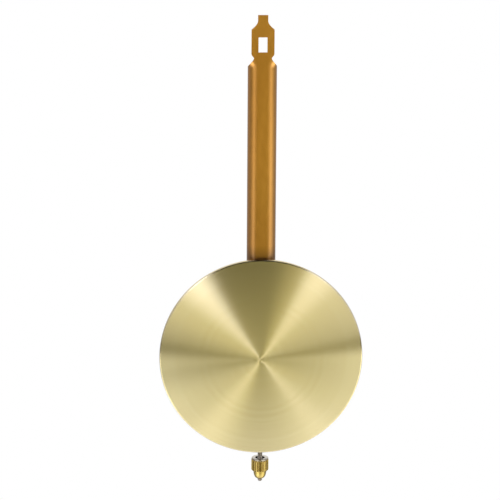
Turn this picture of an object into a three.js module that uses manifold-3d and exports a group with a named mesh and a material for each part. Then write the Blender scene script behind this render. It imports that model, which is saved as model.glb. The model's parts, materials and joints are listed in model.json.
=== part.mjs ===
// A clock pendulum: a pressed sheet rod with a hook eye, a lens bob that slides on it, and a rating nut.
// Millimetres, +Z up along the rod, -Y the front. The origin is the top edge of the hook eye, mid-sheet.
import * as THREE from "three";
import { mergeVertices } from "three/addons/utils/BufferGeometryUtils.js";
import Module from "manifold-3d";

const wasm = await Module();
wasm.setup();

// Gaps that pieces keep.
const gap = {
  seat: 0.05, // between flat faces that rest on each other
  fit: 0.1, // round a rivet, or a disc in its shell
  slide: 0.3, // round a piece that slides
};
const overrun = 2; // how far a cutter passes the faces that it cuts

// The pressed rod: a tab, a flat head with the eye, a notched neck, and a channel that opens to the rear.
const rod = {
  sheet: 0.8,
  tabWidth: 5.1,
  tabLength: 3.0,
  flareLength: 4.4,
  flareCurve: 1.8, // how late the flare opens out: 1 is straight
  headWidth: 11.6,
  headAboveEye: 4.0,
  eyeWidth: 4.5,
  eyeHeight: 7.8,
  eyeCorner: 0.25,
  headBelowEye: 0.4,
  neckWidth: 9.0,
  notchLength: 2.6,
  shoulderLength: 5.4,
  channelWidth: 14.8,
  webWidth: 5.2,
  pastBobCentre: 25.0,
};

// The bob's front shell: a shallow lens with a rolled rim.
const shell = {
  diameter: 105,
  wall: 0.6,
  rise: 3.6,
  rimDepth: 2.2,
  edgeRadius: 0.8,
  lip: 2.4,
};
const bobDrop = 168.55; // from the hook's bearing edge down to the bob's centre

// The steel plate that closes the bob, stepped so that its middle is flush with the rolled rim.
const plate = { sheet: 0.8, flange: 4.1, stepRun: 2.0 };

// The weight: two blanks that the plate carries, and the rivets through them.
const weight = {
  insideRim: 12.5, // from the shell's edge to the rear blank's
  rearThickness: 1.3,
  frontStep: 4.0, // how much less the front blank's radius is
  frontThickness: 1.1,
  rivetInsideEdge: 12.0, // from the front blank's edge
};

// The guides: straps that hold the rod to the plate.
const guide = {
  sheet: 0.8,
  height: 6.0,
  foot: 7.0,
  bend: 1.1,
  rearPlay: 0.4,
  upperBelowRim: 19.5,
  lowerAboveRodEnd: 14.0,
};

// The foot that stands on the nut: an angle, forked round the stud.
const foot = {
  sheet: 0.8,
  width: 18.0,
  depth: 6.6,
  belowRim: 0.3,
  rivetFromSide: 2.7,
  rivetInsideStep: 2.7, // from the edge of the plate's flat middle
  rivetBelowTop: 3.2,
};

// The leaf spring that bears on the inside of the rod's web.
const spring = { sheet: 0.3, width: 5.0, reach: 14.0, tail: 4.0, tailLift: 1.0, seatLength: 5.4 };

// The threaded stud: a round M2.5 rod whose upper end is flattened into a paddle.
const stud = {
  diameter: 2.5,
  belowBobCentre: 69.3,
  chamfer: 0.45,
  paddleWidth: 5.6,
  paddleThickness: 1.0,
  paddleLength: 13.0,
  paddleOverlap: 3.0,
  rivetAboveEnd: 7.0,
};

// The rating nut: a knurled body on a rounded nose, with a counterbored hub that carries the washer.
const nut = {
  diameter: 9.0,
  knurlHeight: 6.1,
  knurlTeeth: 20,
  knurlDepth: 0.34,
  bevel: 0.6,
  noseWidth: 6.8,
  noseHeight: 4.3,
  noseEnd: 3.4,
  hubWidth: 4.8,
  hubHeight: 0.6,
  sinkWidth: 4.3,
  sinkDepth: 2.0,
};
const washer = { diameter: 8.65, thickness: 0.7 };
const restGap = 3.6; // between the foot and the washer, as the bob stands at rest

// Rivets: shank, domed head at the rear and upset tail at the front.
const rivet = { shank: 2.4, head: 4.4, headHeight: 0.9, tail: 3.8, tailHeight: 0.5 };
const studRivet = { shank: 2.0, head: 3.8, headHeight: 0.85, sink: 3.4, sinkDepth: 0.45 };

// How many straight faces stand for a full turn, or for a bend.
const facets = { bob: 72, disc: 40, small: 20, bend: 6, corner: 4, curve: 7 };

const colours = {
  lacquer: 0xa97b2c,
  brass: 0xd8c283,
  steel: 0xb9bcc0,
  iron: 0x4a4c50,
  nutBrass: 0xb08d4e,
};

// Places that follow from the sizes.
const rodFront = -rod.sheet / 2;
const rodRear = rod.sheet / 2;
const eyeBottom = -rod.eyeHeight;
const headTop = rod.headAboveEye;
const tabTop = headTop + rod.flareLength + rod.tabLength;
const headBottom = eyeBottom - rod.headBelowEye;
const neckZ = headBottom - rod.notchLength;
const channelTop = neckZ - rod.shoulderLength;
const channelEnd = -bobDrop - rod.pastBobCentre;
const bendRadius = (rod.channelWidth - rod.webWidth - rod.sheet) / 2; // to the middle of the sheet
const channelRear = bendRadius; // where the channel's flanges end

const bobRear = rodFront - gap.slide; // the rear face of the rolled rim and of the plate's middle
const rimFront = bobRear - shell.rimDepth;
const bobRadius = shell.diameter / 2;
const domeRadius = (bobRadius ** 2 + shell.rise ** 2) / (2 * shell.rise);
const domeCentreY = rimFront - shell.rise + domeRadius;
const rimBottom = -bobDrop - bobRadius;

const studY = rodRear + gap.fit + stud.paddleThickness / 2;
const studTip = -bobDrop - stud.belowBobCentre;
const footBottom = rimBottom - foot.belowRim;
const upperGuideZ = bobRadius - guide.upperBelowRim; // from the bob's centre, as are the next two
const lowerGuideZ = guide.lowerAboveRodEnd - rod.pastBobCentre;
const rearRadius = bobRadius - weight.insideRim;
const frontRadius = rearRadius - weight.frontStep;
const weightRivetX = frontRadius - weight.rivetInsideEdge;
const washerTop = footBottom - restGap;
const nutShoulder = washerTop - washer.thickness - gap.seat;

// Geometry to a solid for cutting and joining, and back.
function toSolid(geometry) {
  const bare = geometry.index ? geometry.toNonIndexed() : geometry.clone();
  bare.deleteAttribute("normal");
  bare.deleteAttribute("uv");
  const merged = mergeVertices(bare);
  return new wasm.Manifold(
    new wasm.Mesh({
      numProp: 3,
      vertProperties: merged.attributes.position.array,
      triVerts: new Uint32Array(merged.index.array),
    }),
  );
}

function toGeometry(solid) {
  const mesh = solid.getMesh();
  const geometry = new THREE.BufferGeometry();
  geometry.setAttribute("position", new THREE.BufferAttribute(mesh.vertProperties, 3));
  geometry.setIndex(new THREE.BufferAttribute(mesh.triVerts, 1));
  geometry.computeVertexNormals();
  return geometry;
}

// A profile of [radius, along] pairs turned about Y. It runs towards -Y on the outside.
function turned(profile, segments) {
  const points = profile.map(([r, y]) => new THREE.Vector2(r, y));
  return new THREE.LatheGeometry(points.reverse(), segments);
}

// The same about Z, with its axis through the stud's.
function turnedUpright(profile, segments) {
  return turned(profile, segments)
    .rotateX(Math.PI / 2)
    .translate(0, studY, 0);
}

// An outline of [x, y] pairs, extruded up from z.
function extruded(outline, z, height) {
  const shape = new THREE.Shape(outline.map(([x, y]) => new THREE.Vector2(x, y)));
  return new THREE.ExtrudeGeometry(shape, { depth: height, bevelEnabled: false }).translate(0, 0, z);
}

// An outline of [x, z] pairs, extruded from y towards +Y.
function extrudedBack(outline, y, depth) {
  return extruded(outline, 0, depth)
    .rotateX(Math.PI / 2)
    .translate(0, y + depth, 0);
}

// An outline of [y, z] pairs, extruded along X to both sides of the middle.
function extrudedAcross(outline, width) {
  const turn = new THREE.Matrix4().makeBasis(
    new THREE.Vector3(0, 1, 0),
    new THREE.Vector3(0, 0, 1),
    new THREE.Vector3(1, 0, 0),
  );
  return extruded(outline, -width / 2, width).applyMatrix4(turn);
}

// A pin cutter along Y through (x, z).
function pinCutter(radius, x, z, from, to) {
  const profile = [
    [0, to],
    [radius, to],
    [radius, from],
    [0, from],
  ];
  return toSolid(turned(profile, facets.small).translate(x, 0, z));
}

function box(x0, x1, y0, y1, z0, z1) {
  const block = new THREE.BoxGeometry(x1 - x0, y1 - y0, z1 - z0);
  return block.translate((x0 + x1) / 2, (y0 + y1) / 2, (z0 + z1) / 2);
}

function arc(cx, cy, radius, from, to, steps) {
  return Array.from({ length: steps + 1 }, (_, i) => {
    const a = from + ((to - from) * i) / steps;
    return [cx + radius * Math.cos(a), cy + radius * Math.sin(a)];
  });
}

// A level of the rod: its height, half its width along the sheet, and how far its sides are bent, 0 to 1.
function rodLevels() {
  const flareSteps = Array.from({ length: facets.curve + 1 }, (_, i) => i / facets.curve);
  const flareShares = flareSteps.map((t) => [t, t ** rod.flareCurve]);
  const notchShares = [
    [0.35, 0.06],
    [0.58, 0.5],
    [0.82, 0.95],
    [1, 1],
  ];
  const shoulderShares = [
    [0.1, 0.04, 0],
    [0.3, 0.29, 0.3],
    [0.51, 0.61, 0.62],
    [0.72, 0.9, 0.88],
    [1, 1, 1],
  ];
  const tab = rod.tabWidth / 2;
  const head = rod.headWidth / 2;
  const neck = rod.neckWidth / 2;
  const channel = rod.channelWidth / 2;
  const web = rod.webWidth / 2;
  const levels = [{ z: tabTop, half: tab, bend: 0 }];
  for (const [along, out] of flareShares) {
    levels.push({ z: headTop + rod.flareLength * (1 - along), half: tab + (head - tab) * out, bend: 0 });
  }
  levels.push({ z: headBottom, half: head, bend: 0 });
  for (const [along, inward] of notchShares) {
    const half = head - (head - neck) * inward;
    levels.push({ z: headBottom - rod.notchLength * along, half, bend: 0 });
  }
  for (const [along, out, bend] of shoulderShares) {
    const outer = neck + (channel - neck) * out;
    const radius = bend ? bendRadius / bend : 0;
    const lean = Math.asin(Math.min(1, (outer - web) / (radius + rod.sheet / 2)));
    levels.push({ z: neckZ - rod.shoulderLength * along, half: bend ? web + radius * lean : outer, bend });
  }
  const last = levels[levels.length - 1];
  levels.push({ ...last, z: channelEnd });
  return levels;
}

// The pressed sheet as a closed grid: a front and a rear skin, joined round the edge.
function formedSheet(levels, webHalf, radius, sheet) {
  const flatShare = 0.55;
  const columns = [];
  for (let i = facets.bend; i > 0; i -= 1) columns.push([-1, i / facets.bend]);
  columns.push([-1, 0], [1, 0]);
  for (let i = 1; i <= facets.bend; i += 1) columns.push([1, i / facets.bend]);
  const across = columns.length;
  const ring = 2 * across;
  const positions = [];
  for (const { z, half, bend } of levels) {
    const flat = Math.min(webHalf, flatShare * half);
    const skins = columns.map(([side, share]) => {
      const run = (half - flat) * share;
      const turn = (run * bend) / radius;
      const x = bend ? flat + (radius / bend) * Math.sin(turn) : flat + run;
      const y = bend ? (radius / bend) * (1 - Math.cos(turn)) : 0;
      return { x: side * x, y, nx: side * Math.sin(turn), ny: -Math.cos(turn) };
    });
    const skin = (p, side) => [p.x + (side * p.nx * sheet) / 2, p.y + (side * p.ny * sheet) / 2, z];
    for (const p of skins) positions.push(...skin(p, 1));
    for (const p of skins.toReversed()) positions.push(...skin(p, -1));
  }
  const index = [];
  for (let level = 0; level < levels.length - 1; level += 1) {
    for (let i = 0; i < ring; i += 1) {
      const a = level * ring + i;
      const b = level * ring + ((i + 1) % ring);
      index.push(a, a + ring, b, b, a + ring, b + ring);
    }
  }
  const bottom = (levels.length - 1) * ring;
  for (let i = 0; i < across - 1; i += 1) {
    const j = ring - 1 - i;
    index.push(i, i + 1, j, i + 1, j - 1, j);
    index.push(bottom + i, bottom + j, bottom + i + 1, bottom + i + 1, bottom + j, bottom + j - 1);
  }
  const geometry = new THREE.BufferGeometry();
  geometry.setAttribute("position", new THREE.Float32BufferAttribute(positions, 3));
  geometry.setIndex(index);
  return geometry;
}

function eyeCutter() {
  const w = rod.eyeWidth / 2;
  const r = rod.eyeCorner;
  const quarter = Math.PI / 2;
  const outline = [
    ...arc(w - r, -r, r, 0, quarter, facets.corner),
    ...arc(r - w, -r, r, quarter, 2 * quarter, facets.corner),
    ...arc(r - w, eyeBottom + r, r, 2 * quarter, 3 * quarter, facets.corner),
    ...arc(w - r, eyeBottom + r, r, 3 * quarter, 4 * quarter, facets.corner),
  ];
  return toSolid(extrudedBack(outline, rodFront - overrun, rod.sheet + 2 * overrun));
}

const studRivetZ = channelEnd + stud.rivetAboveEnd;

function pendulumRod() {
  const sheet = toSolid(formedSheet(rodLevels(), rod.webWidth / 2, bendRadius, rod.sheet));
  const sink = [
    [0, rodRear + overrun],
    [studRivet.shank / 2 + gap.fit, rodRear + overrun],
    [studRivet.shank / 2 + gap.fit, rodFront + studRivet.sinkDepth],
    [studRivet.sink / 2 + gap.fit, rodFront],
    [studRivet.sink / 2 + gap.fit, rodFront - overrun],
    [0, rodFront - overrun],
  ];
  const rivetHole = toSolid(turned(sink, facets.small).translate(0, 0, studRivetZ));
  return toGeometry(sheet.subtract(eyeCutter()).subtract(rivetHole));
}

function threadedStud() {
  const r = stud.diameter / 2;
  const roundTop = channelEnd - gap.slide;
  const round = [
    [0, roundTop],
    [r, roundTop],
    [r, studTip + stud.chamfer],
    [r - stud.chamfer, studTip],
    [0, studTip],
  ];
  const w = stud.paddleWidth / 2;
  const low = roundTop - stud.paddleOverlap;
  const high = channelEnd + stud.paddleLength;
  const paddle = [
    [stud.chamfer - r, low],
    [r - stud.chamfer, low],
    [w, roundTop + gap.slide],
    ...arc(0, high - w, w, 0, Math.PI, facets.curve),
    [-w, roundTop + gap.slide],
  ];
  const blade = toSolid(extrudedBack(paddle, studY - stud.paddleThickness / 2, stud.paddleThickness));
  const hole = pinCutter(studRivet.shank / 2 + gap.fit, 0, studRivetZ, rodFront, studY + overrun);
  return toGeometry(toSolid(turnedUpright(round, facets.small)).add(blade).subtract(hole));
}

// The profile of a rivet's domed head, which stands on a face at y.
const headShares = [
  [0, 1],
  [0.5, 0.9],
  [0.85, 0.55],
  [1, 0],
];
const domedHead = (radius, height, y) => headShares.map(([out, up]) => [radius * out, y + height * up]);

function paddleRivet() {
  const r = studRivet.shank / 2;
  const rear = studY + stud.paddleThickness / 2 + gap.seat;
  const profile = [
    ...domedHead(studRivet.head / 2, studRivet.headHeight, rear),
    [r, rear],
    [r, rodFront + studRivet.sinkDepth],
    [studRivet.sink / 2, rodFront],
    [0, rodFront],
  ];
  return turned(profile, facets.small).translate(0, 0, studRivetZ);
}

// A domed rivet along Y at (x, z), from the rear face under its head to the front face of what it holds.
function domedRivet(x, z, rear, front) {
  const r = rivet.shank / 2;
  const from = rear + gap.seat;
  const to = front - gap.seat;
  const profile = [
    ...domedHead(rivet.head / 2, rivet.headHeight, from),
    [r, from],
    [r, to],
    [rivet.tail / 2, to],
    [rivet.tail / 2, to - rivet.tailHeight],
    [0, to - rivet.tailHeight],
  ];
  return turned(profile, facets.small).translate(x, 0, z);
}

// The y of the dome's face at a radius, moved in by a depth.
function domeY(radius, depth) {
  return domeCentreY - Math.sqrt((domeRadius - depth) ** 2 - radius ** 2);
}

function bobShell() {
  const quarter = Math.PI / 2;
  const inner = bobRadius - shell.wall;
  const steps = facets.curve;
  const edge = shell.edgeRadius;
  const outerRim = bobRadius - edge;
  const innerEdge = edge - shell.wall;
  const dome = (limit, depth) =>
    Array.from({ length: steps }, (_, i) => {
      const radius = (limit * (steps - i)) / steps;
      return [radius, domeY(radius, depth)];
    });
  const rimY = domeY(outerRim, 0) + edge;
  const outside = [
    ...arc(bobRadius - shell.wall, bobRear - shell.wall, shell.wall, quarter, 0, facets.corner),
    ...arc(outerRim, rimY, edge, 0, -quarter, facets.corner),
    ...dome(outerRim, 0).slice(1),
    [0, domeY(0, 0)],
  ];
  const inside = [
    [0, domeY(0, shell.wall)],
    ...dome(outerRim, shell.wall).slice(1).toReversed(),
    ...arc(outerRim, rimY, innerEdge, -quarter, 0, facets.corner),
    [inner, bobRear - shell.wall],
    [bobRadius - shell.wall - shell.lip, bobRear - shell.wall],
    [bobRadius - shell.wall - shell.lip, bobRear],
  ];
  return turned([...inside, ...outside], facets.bob);
}

const plateRadius = bobRadius - shell.wall - gap.fit;
const plateFlangeRear = bobRear - shell.wall - gap.fit;
const plateInner = plateRadius - plate.flange;
const plateFlat = plateInner - plate.stepRun; // the radius of its flat middle
const plateFront = bobRear - plate.sheet;

// The pins through the plate: [x, z] from the bob's centre.
const guidePinX = rod.channelWidth / 2 + gap.slide + guide.sheet + guide.foot / 2;
const guidePins = [
  [-guidePinX, upperGuideZ],
  [guidePinX, upperGuideZ],
  [-guidePinX, lowerGuideZ],
  [guidePinX, lowerGuideZ],
];
const footRivetX = foot.width / 2 - foot.rivetFromSide;
const footRivetZ = foot.rivetInsideStep - plateFlat;
const footPins = [
  [-footRivetX, footRivetZ],
  [footRivetX, footRivetZ],
];
const weightPins = [
  [-weightRivetX, 0],
  [weightRivetX, 0],
];

function drilled(geometry, pins, radius) {
  const from = rimFront - shell.rise - overrun;
  const to = bobRear + overrun;
  const drill = (solid, [x, z]) => solid.subtract(pinCutter(radius, x, z, from, to));
  return toGeometry(pins.reduce(drill, toSolid(geometry)));
}

function backPlate() {
  const profile = [
    [0, bobRear],
    [plateFlat, bobRear],
    [plateInner, plateFlangeRear],
    [plateRadius, plateFlangeRear],
    [plateRadius, plateFlangeRear - plate.sheet],
    [plateInner - plate.sheet / 2, plateFlangeRear - plate.sheet],
    [plateFlat - plate.sheet / 2, plateFront],
    [0, plateFront],
  ];
  const pins = [...guidePins, ...footPins, ...weightPins];
  return drilled(turned(profile, facets.bob), pins, rivet.shank / 2 + gap.fit);
}

const rearDiscBack = plateFront - gap.seat;
const frontDiscBack = rearDiscBack - weight.rearThickness - gap.seat;
const frontDiscFront = frontDiscBack - weight.frontThickness;

// A blank of the weight. The rear one has room for the tails of the rivets in the plate.
function weightDisc(r, back, thickness, tails) {
  const profile = [
    [0, back],
    [r, back],
    [r, back - thickness],
    [0, back - thickness],
  ];
  const disc = drilled(turned(profile, facets.disc), weightPins, rivet.shank / 2 + gap.fit);
  return drilled(disc, tails, rivet.tail / 2 + gap.slide);
}

// A strap across the rod: two feet on the plate, two walls and a bridge, all of one strip.
function guideStrap() {
  const quarter = Math.PI / 2;
  const wall = rod.channelWidth / 2 + gap.slide;
  const out = wall + guide.sheet;
  const base = bobRear + gap.seat;
  const top = base + guide.sheet;
  const bridge = channelRear + guide.rearPlay;
  const outer = guide.bend + guide.sheet;
  const side = [
    [out + guide.foot, base],
    [out + guide.foot, top],
    [out, top],
    ...arc(out - outer, bridge + guide.sheet - outer, outer, 0, quarter, facets.corner),
  ];
  const within = [
    [wall, base],
    ...arc(wall - guide.bend, bridge - guide.bend, guide.bend, 0, quarter, facets.corner),
  ];
  const mirrored = (points) => points.toReversed().map(([x, y]) => [-x, y]);
  return [...side, ...mirrored(side), ...mirrored(within).toReversed(), ...within.toReversed()];
}

function guidePiece(middle, extraPins) {
  const z = -bobDrop + middle - guide.height / 2;
  const strap = toSolid(extruded(guideStrap(), z, guide.height));
  const hole = rivet.shank / 2 + gap.fit;
  const drill = (solid, x) =>
    solid.subtract(pinCutter(hole, x, -bobDrop + middle, bobRear - overrun, channelRear + 2 * overrun));
  return toGeometry([-guidePinX, guidePinX, ...extraPins].reduce(drill, strap));
}

function adjustingFoot() {
  const front = bobRear + gap.seat;
  const low = footBottom;
  const rivetZ = footRivetZ - bobDrop;
  const high = rivetZ + foot.rivetBelowTop;
  const outline = [
    [front, low],
    [front + foot.depth, low],
    [front + foot.depth, low + foot.sheet],
    [front + foot.sheet, low + foot.sheet],
    [front + foot.sheet, high],
    [front, high],
  ];
  const angle = extrudedAcross(outline, foot.width);
  const half = stud.diameter / 2 + gap.slide;
  const slot = toSolid(box(-half, half, front - overrun, studY, low - overrun, high + overrun));
  const bore = [
    [0, high],
    [half, high],
    [half, low - overrun],
    [0, low - overrun],
  ];
  const hole = rivet.shank / 2 + gap.fit;
  return toGeometry(
    toSolid(angle)
      .subtract(slot)
      .subtract(toSolid(turnedUpright(bore, facets.small)))
      .subtract(pinCutter(hole, -footRivetX, rivetZ, front - overrun, front + foot.depth))
      .subtract(pinCutter(hole, footRivetX, rivetZ, front - overrun, front + foot.depth)),
  );
}

const springSeat = channelRear + guide.rearPlay - gap.seat; // the rear face of the spring under the strap
const springPinZ = upperGuideZ - bobDrop;

// A leaf that runs from under the upper guide down and forward to the web, then turns back.
function frictionSpring() {
  const tailShares = [
    [0.5, 0.3],
    [1, 1],
  ];
  const touch = rodRear + gap.fit;
  const top = springPinZ + spring.seatLength / 2;
  const knee = springPinZ - spring.seatLength / 2;
  const low = knee - spring.reach;
  const seat = springSeat - spring.sheet;
  const front = [
    [seat, top],
    [seat, knee],
  ];
  for (let i = 1; i <= facets.curve; i += 1) {
    const t = i / facets.curve;
    const ease = t * t * (3 - 2 * t);
    front.push([seat + (touch - seat) * ease, knee - spring.reach * t]);
  }
  for (const [down, lift] of tailShares) {
    front.push([touch + spring.tailLift * lift, low - spring.tail * down]);
  }
  // The rear face lies a sheet's thickness behind, square to the path.
  const rear = front.map(([y, z], i) => {
    const [ya, za] = front[Math.max(0, i - 1)];
    const [yb, zb] = front[Math.min(front.length - 1, i + 1)];
    const length = Math.hypot(yb - ya, zb - za);
    return [y + (spring.sheet * (za - zb)) / length, z + (spring.sheet * (yb - ya)) / length];
  });
  const leaf = extrudedAcross([...front, ...rear.toReversed()], spring.width);
  const hole = pinCutter(rivet.shank / 2 + gap.fit, 0, springPinZ, seat - overrun, springSeat + overrun);
  return toGeometry(toSolid(leaf).subtract(hole));
}

// The nut's outline seen along its axis: straight teeth round a circle.
function knurlOutline() {
  const outer = nut.diameter / 2;
  const root = outer - nut.knurlDepth;
  const step = (2 * Math.PI) / nut.knurlTeeth;
  const toothShares = [
    [0, 1],
    [0.3, 1],
    [0.5, 0],
    [0.8, 0],
  ];
  return Array.from({ length: nut.knurlTeeth }, (_, k) =>
    toothShares.map(([turn, height]) => {
      const a = (k + turn) * step;
      const r = root + (outer - root) * height;
      return [r * Math.cos(a), r * Math.sin(a)];
    }),
  ).flat();
}

function ratingNut() {
  const outer = nut.diameter / 2;
  const top = nutShoulder;
  const low = top - nut.knurlHeight;
  const blank = extruded(knurlOutline(), low - overrun, nut.knurlHeight + 2 * overrun);
  const knurled = toSolid(blank.translate(0, studY, 0));
  const bevelled = [
    [0, top],
    [outer - nut.bevel / 2, top],
    [outer, top - nut.bevel / 2],
    [outer, low + nut.bevel],
    [outer - nut.bevel, low],
    [0, low],
  ];
  const body = knurled.intersect(toSolid(turnedUpright(bevelled, 2 * facets.small)));
  const noseTop = low + nut.bevel;
  const noseSteps = facets.corner + 1;
  const nose = [
    [0, noseTop],
    [nut.noseWidth / 2, noseTop],
    ...Array.from({ length: noseSteps + 1 }, (_, i) => {
      const t = i / noseSteps;
      const bulge = Math.sqrt(1 - t * t);
      return [nut.noseEnd / 2 + ((nut.noseWidth - nut.noseEnd) / 2) * bulge, low - nut.noseHeight * t];
    }),
    [0, low - nut.noseHeight],
  ];
  const hubTop = top + nut.hubHeight;
  const hub = [
    [0, hubTop],
    [nut.hubWidth / 2, hubTop],
    [nut.hubWidth / 2, top - nut.bevel],
    [0, top - nut.bevel],
  ];
  const bore = stud.diameter / 2 + gap.fit;
  const sink = [
    [0, hubTop + overrun],
    [nut.sinkWidth / 2, hubTop + overrun],
    [nut.sinkWidth / 2, hubTop - nut.sinkDepth],
    [bore, hubTop - nut.sinkDepth],
    [bore, low - nut.noseHeight - overrun],
    [0, low - nut.noseHeight - overrun],
  ];
  return toGeometry(
    body
      .add(toSolid(turnedUpright(nose, facets.small)))
      .add(toSolid(turnedUpright(hub, facets.small)))
      .subtract(toSolid(turnedUpright(sink, facets.small))),
  );
}

function nutWasher() {
  const hole = nut.hubWidth / 2 + gap.fit;
  const r = washer.diameter / 2;
  const low = washerTop - washer.thickness;
  const profile = [
    [hole, washerTop],
    [r, washerTop],
    [r, low],
    [hole, low],
    [hole, washerTop],
  ];
  return turnedUpright(profile, facets.small);
}

const pendulum = new THREE.Group();

function place(name, geometry, colour, roughness) {
  const material = new THREE.MeshStandardMaterial({ color: colour, roughness, metalness: 1 });
  const mesh = new THREE.Mesh(geometry, material);
  mesh.name = name;
  pendulum.add(mesh);
}

const atBob = (geometry) => geometry.translate(0, 0, -bobDrop);

place("rod", pendulumRod(), colours.lacquer, 0.45);
place("threaded_stud", threadedStud(), colours.steel, 0.35);
place("stud_rivet", paddleRivet(), colours.steel, 0.4);

place("bob_shell", atBob(bobShell()), colours.brass, 0.3);
place("back_plate", atBob(backPlate()), colours.steel, 0.4);
const rearDisc = weightDisc(rearRadius, rearDiscBack, weight.rearThickness, [...guidePins, ...footPins]);
const frontDisc = weightDisc(frontRadius, frontDiscBack, weight.frontThickness, []);
place("weight_disc_rear", atBob(rearDisc), colours.iron, 0.7);
place("weight_disc_front", atBob(frontDisc), colours.iron, 0.7);

place("guide_upper", guidePiece(upperGuideZ, [0]), colours.steel, 0.4);
place("guide_lower", guidePiece(lowerGuideZ, []), colours.steel, 0.4);
place("adjusting_foot", adjustingFoot(), colours.steel, 0.4);
place("friction_spring", frictionSpring(), colours.steel, 0.3);

const strapRear = bobRear + gap.seat + guide.sheet;
guidePins.forEach(([x, z], i) => {
  place(`guide_rivet_${i + 1}`, domedRivet(x, z - bobDrop, strapRear, plateFront), colours.steel, 0.35);
});
footPins.forEach(([x, z], i) => {
  place(`foot_rivet_${i + 1}`, domedRivet(x, z - bobDrop, strapRear, plateFront), colours.steel, 0.35);
});
weightPins.forEach(([x, z], i) => {
  const through = domedRivet(x, z - bobDrop, bobRear, frontDiscFront);
  place(`weight_rivet_${i + 1}`, through, colours.steel, 0.35);
});
const bridgeRear = channelRear + guide.rearPlay + guide.sheet;
const springRivet = domedRivet(0, springPinZ, bridgeRear, springSeat - spring.sheet);
place("spring_rivet", springRivet, colours.steel, 0.35);

place("rating_nut", ratingNut(), colours.nutBrass, 0.3);
place("nut_washer", nutWasher(), colours.steel, 0.25);

export default pendulum;
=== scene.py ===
"""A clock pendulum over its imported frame: lacquered rod, spun brass bob, threaded stud and rating nut."""

import json
import logging
import math
from dataclasses import dataclass, field
from enum import Enum
from typing import Callable, Sequence

import bmesh
import bpy
import numpy as np
from mathutils import Matrix, Vector

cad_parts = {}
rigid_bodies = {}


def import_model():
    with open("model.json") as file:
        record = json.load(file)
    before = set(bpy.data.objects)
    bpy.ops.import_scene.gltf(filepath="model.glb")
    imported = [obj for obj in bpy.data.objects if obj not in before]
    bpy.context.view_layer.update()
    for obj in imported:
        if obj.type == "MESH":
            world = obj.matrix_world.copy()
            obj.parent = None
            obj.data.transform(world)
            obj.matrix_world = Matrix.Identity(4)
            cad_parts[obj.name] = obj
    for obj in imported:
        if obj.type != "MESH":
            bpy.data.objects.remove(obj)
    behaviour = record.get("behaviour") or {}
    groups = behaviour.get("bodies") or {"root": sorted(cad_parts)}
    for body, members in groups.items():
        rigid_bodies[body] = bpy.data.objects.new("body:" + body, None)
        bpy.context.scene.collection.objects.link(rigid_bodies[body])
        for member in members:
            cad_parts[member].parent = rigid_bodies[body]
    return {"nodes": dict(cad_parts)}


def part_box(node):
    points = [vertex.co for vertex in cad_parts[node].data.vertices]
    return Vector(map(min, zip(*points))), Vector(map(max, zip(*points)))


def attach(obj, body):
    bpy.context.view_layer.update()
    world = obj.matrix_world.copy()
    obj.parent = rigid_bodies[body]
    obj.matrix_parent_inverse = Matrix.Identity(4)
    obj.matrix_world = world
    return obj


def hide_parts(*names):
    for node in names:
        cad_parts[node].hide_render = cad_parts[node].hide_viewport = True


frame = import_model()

log = logging.getLogger("pendulum")

MM = 0.001
TAU = 2 * math.pi
UV_NAME = "polar"
SAME_POINT = 0.001 * MM  # points closer than this are one
NO_WIDTH = 1e-9  # a width that the weld closes to a point
LEAST_RADIUS = 0.01 * MM  # a groove takes a point nearer the axis as this far out
MOST = (0.35, 0.65)  # the span that most of a noise's values lie in
NEARLY_ALL = (0.3, 0.7)  # the span that nearly all of them lie in
SOFT, FINE, FINEST = 2, 3, 4  # how many finer layers a noise has
EVEN = (1, 1, 1)  # the stretch of a pattern that runs no way

Point2 = tuple[float, float]
Point3 = tuple[float, float, float]
Colour = tuple[float, float, float]
Socket = bpy.types.NodeSocket
Material = bpy.types.Material
Piece = bpy.types.Object


def srgb(red: int, green: int, blue: int) -> Colour:
    """Turn a display colour into the linear one that the shaders take.

    Args:
        red: The red channel, from 0 to 255.
        green: The green channel.
        blue: The blue channel.

    Returns:
        The linear colour.
    """
    def linear(value: float) -> float:
        """Undo the display's curve for one channel."""
        return value / 12.92 if value <= 0.04045 else ((value + 0.055) / 1.055) ** 2.4
    return tuple(linear(value / 255) for value in (red, green, blue))


class Axis(Enum):
    """The axis that a turned piece is turned about."""

    FRONT = "front"  # profile heights run towards the rear, along +Y
    UP = "up"  # profile heights run up, along +Z


@dataclass(frozen=True)
class Place:
    """The lowest and highest corner of a node of the frame."""

    low: Vector
    high: Vector

    @classmethod
    def of(cls, node: str) -> "Place":
        """Read a node's box.

        Args:
            node: The node's name.

        Returns:
            Its place.
        """
        low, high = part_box(node)
        return cls(Vector(low), Vector(high))

    @property
    def middle(self) -> Vector:
        """The centre of the box."""
        return (self.low + self.high) / 2

    @property
    def size(self) -> Vector:
        """The box's three sides."""
        return self.high - self.low


# Node trees.


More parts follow.
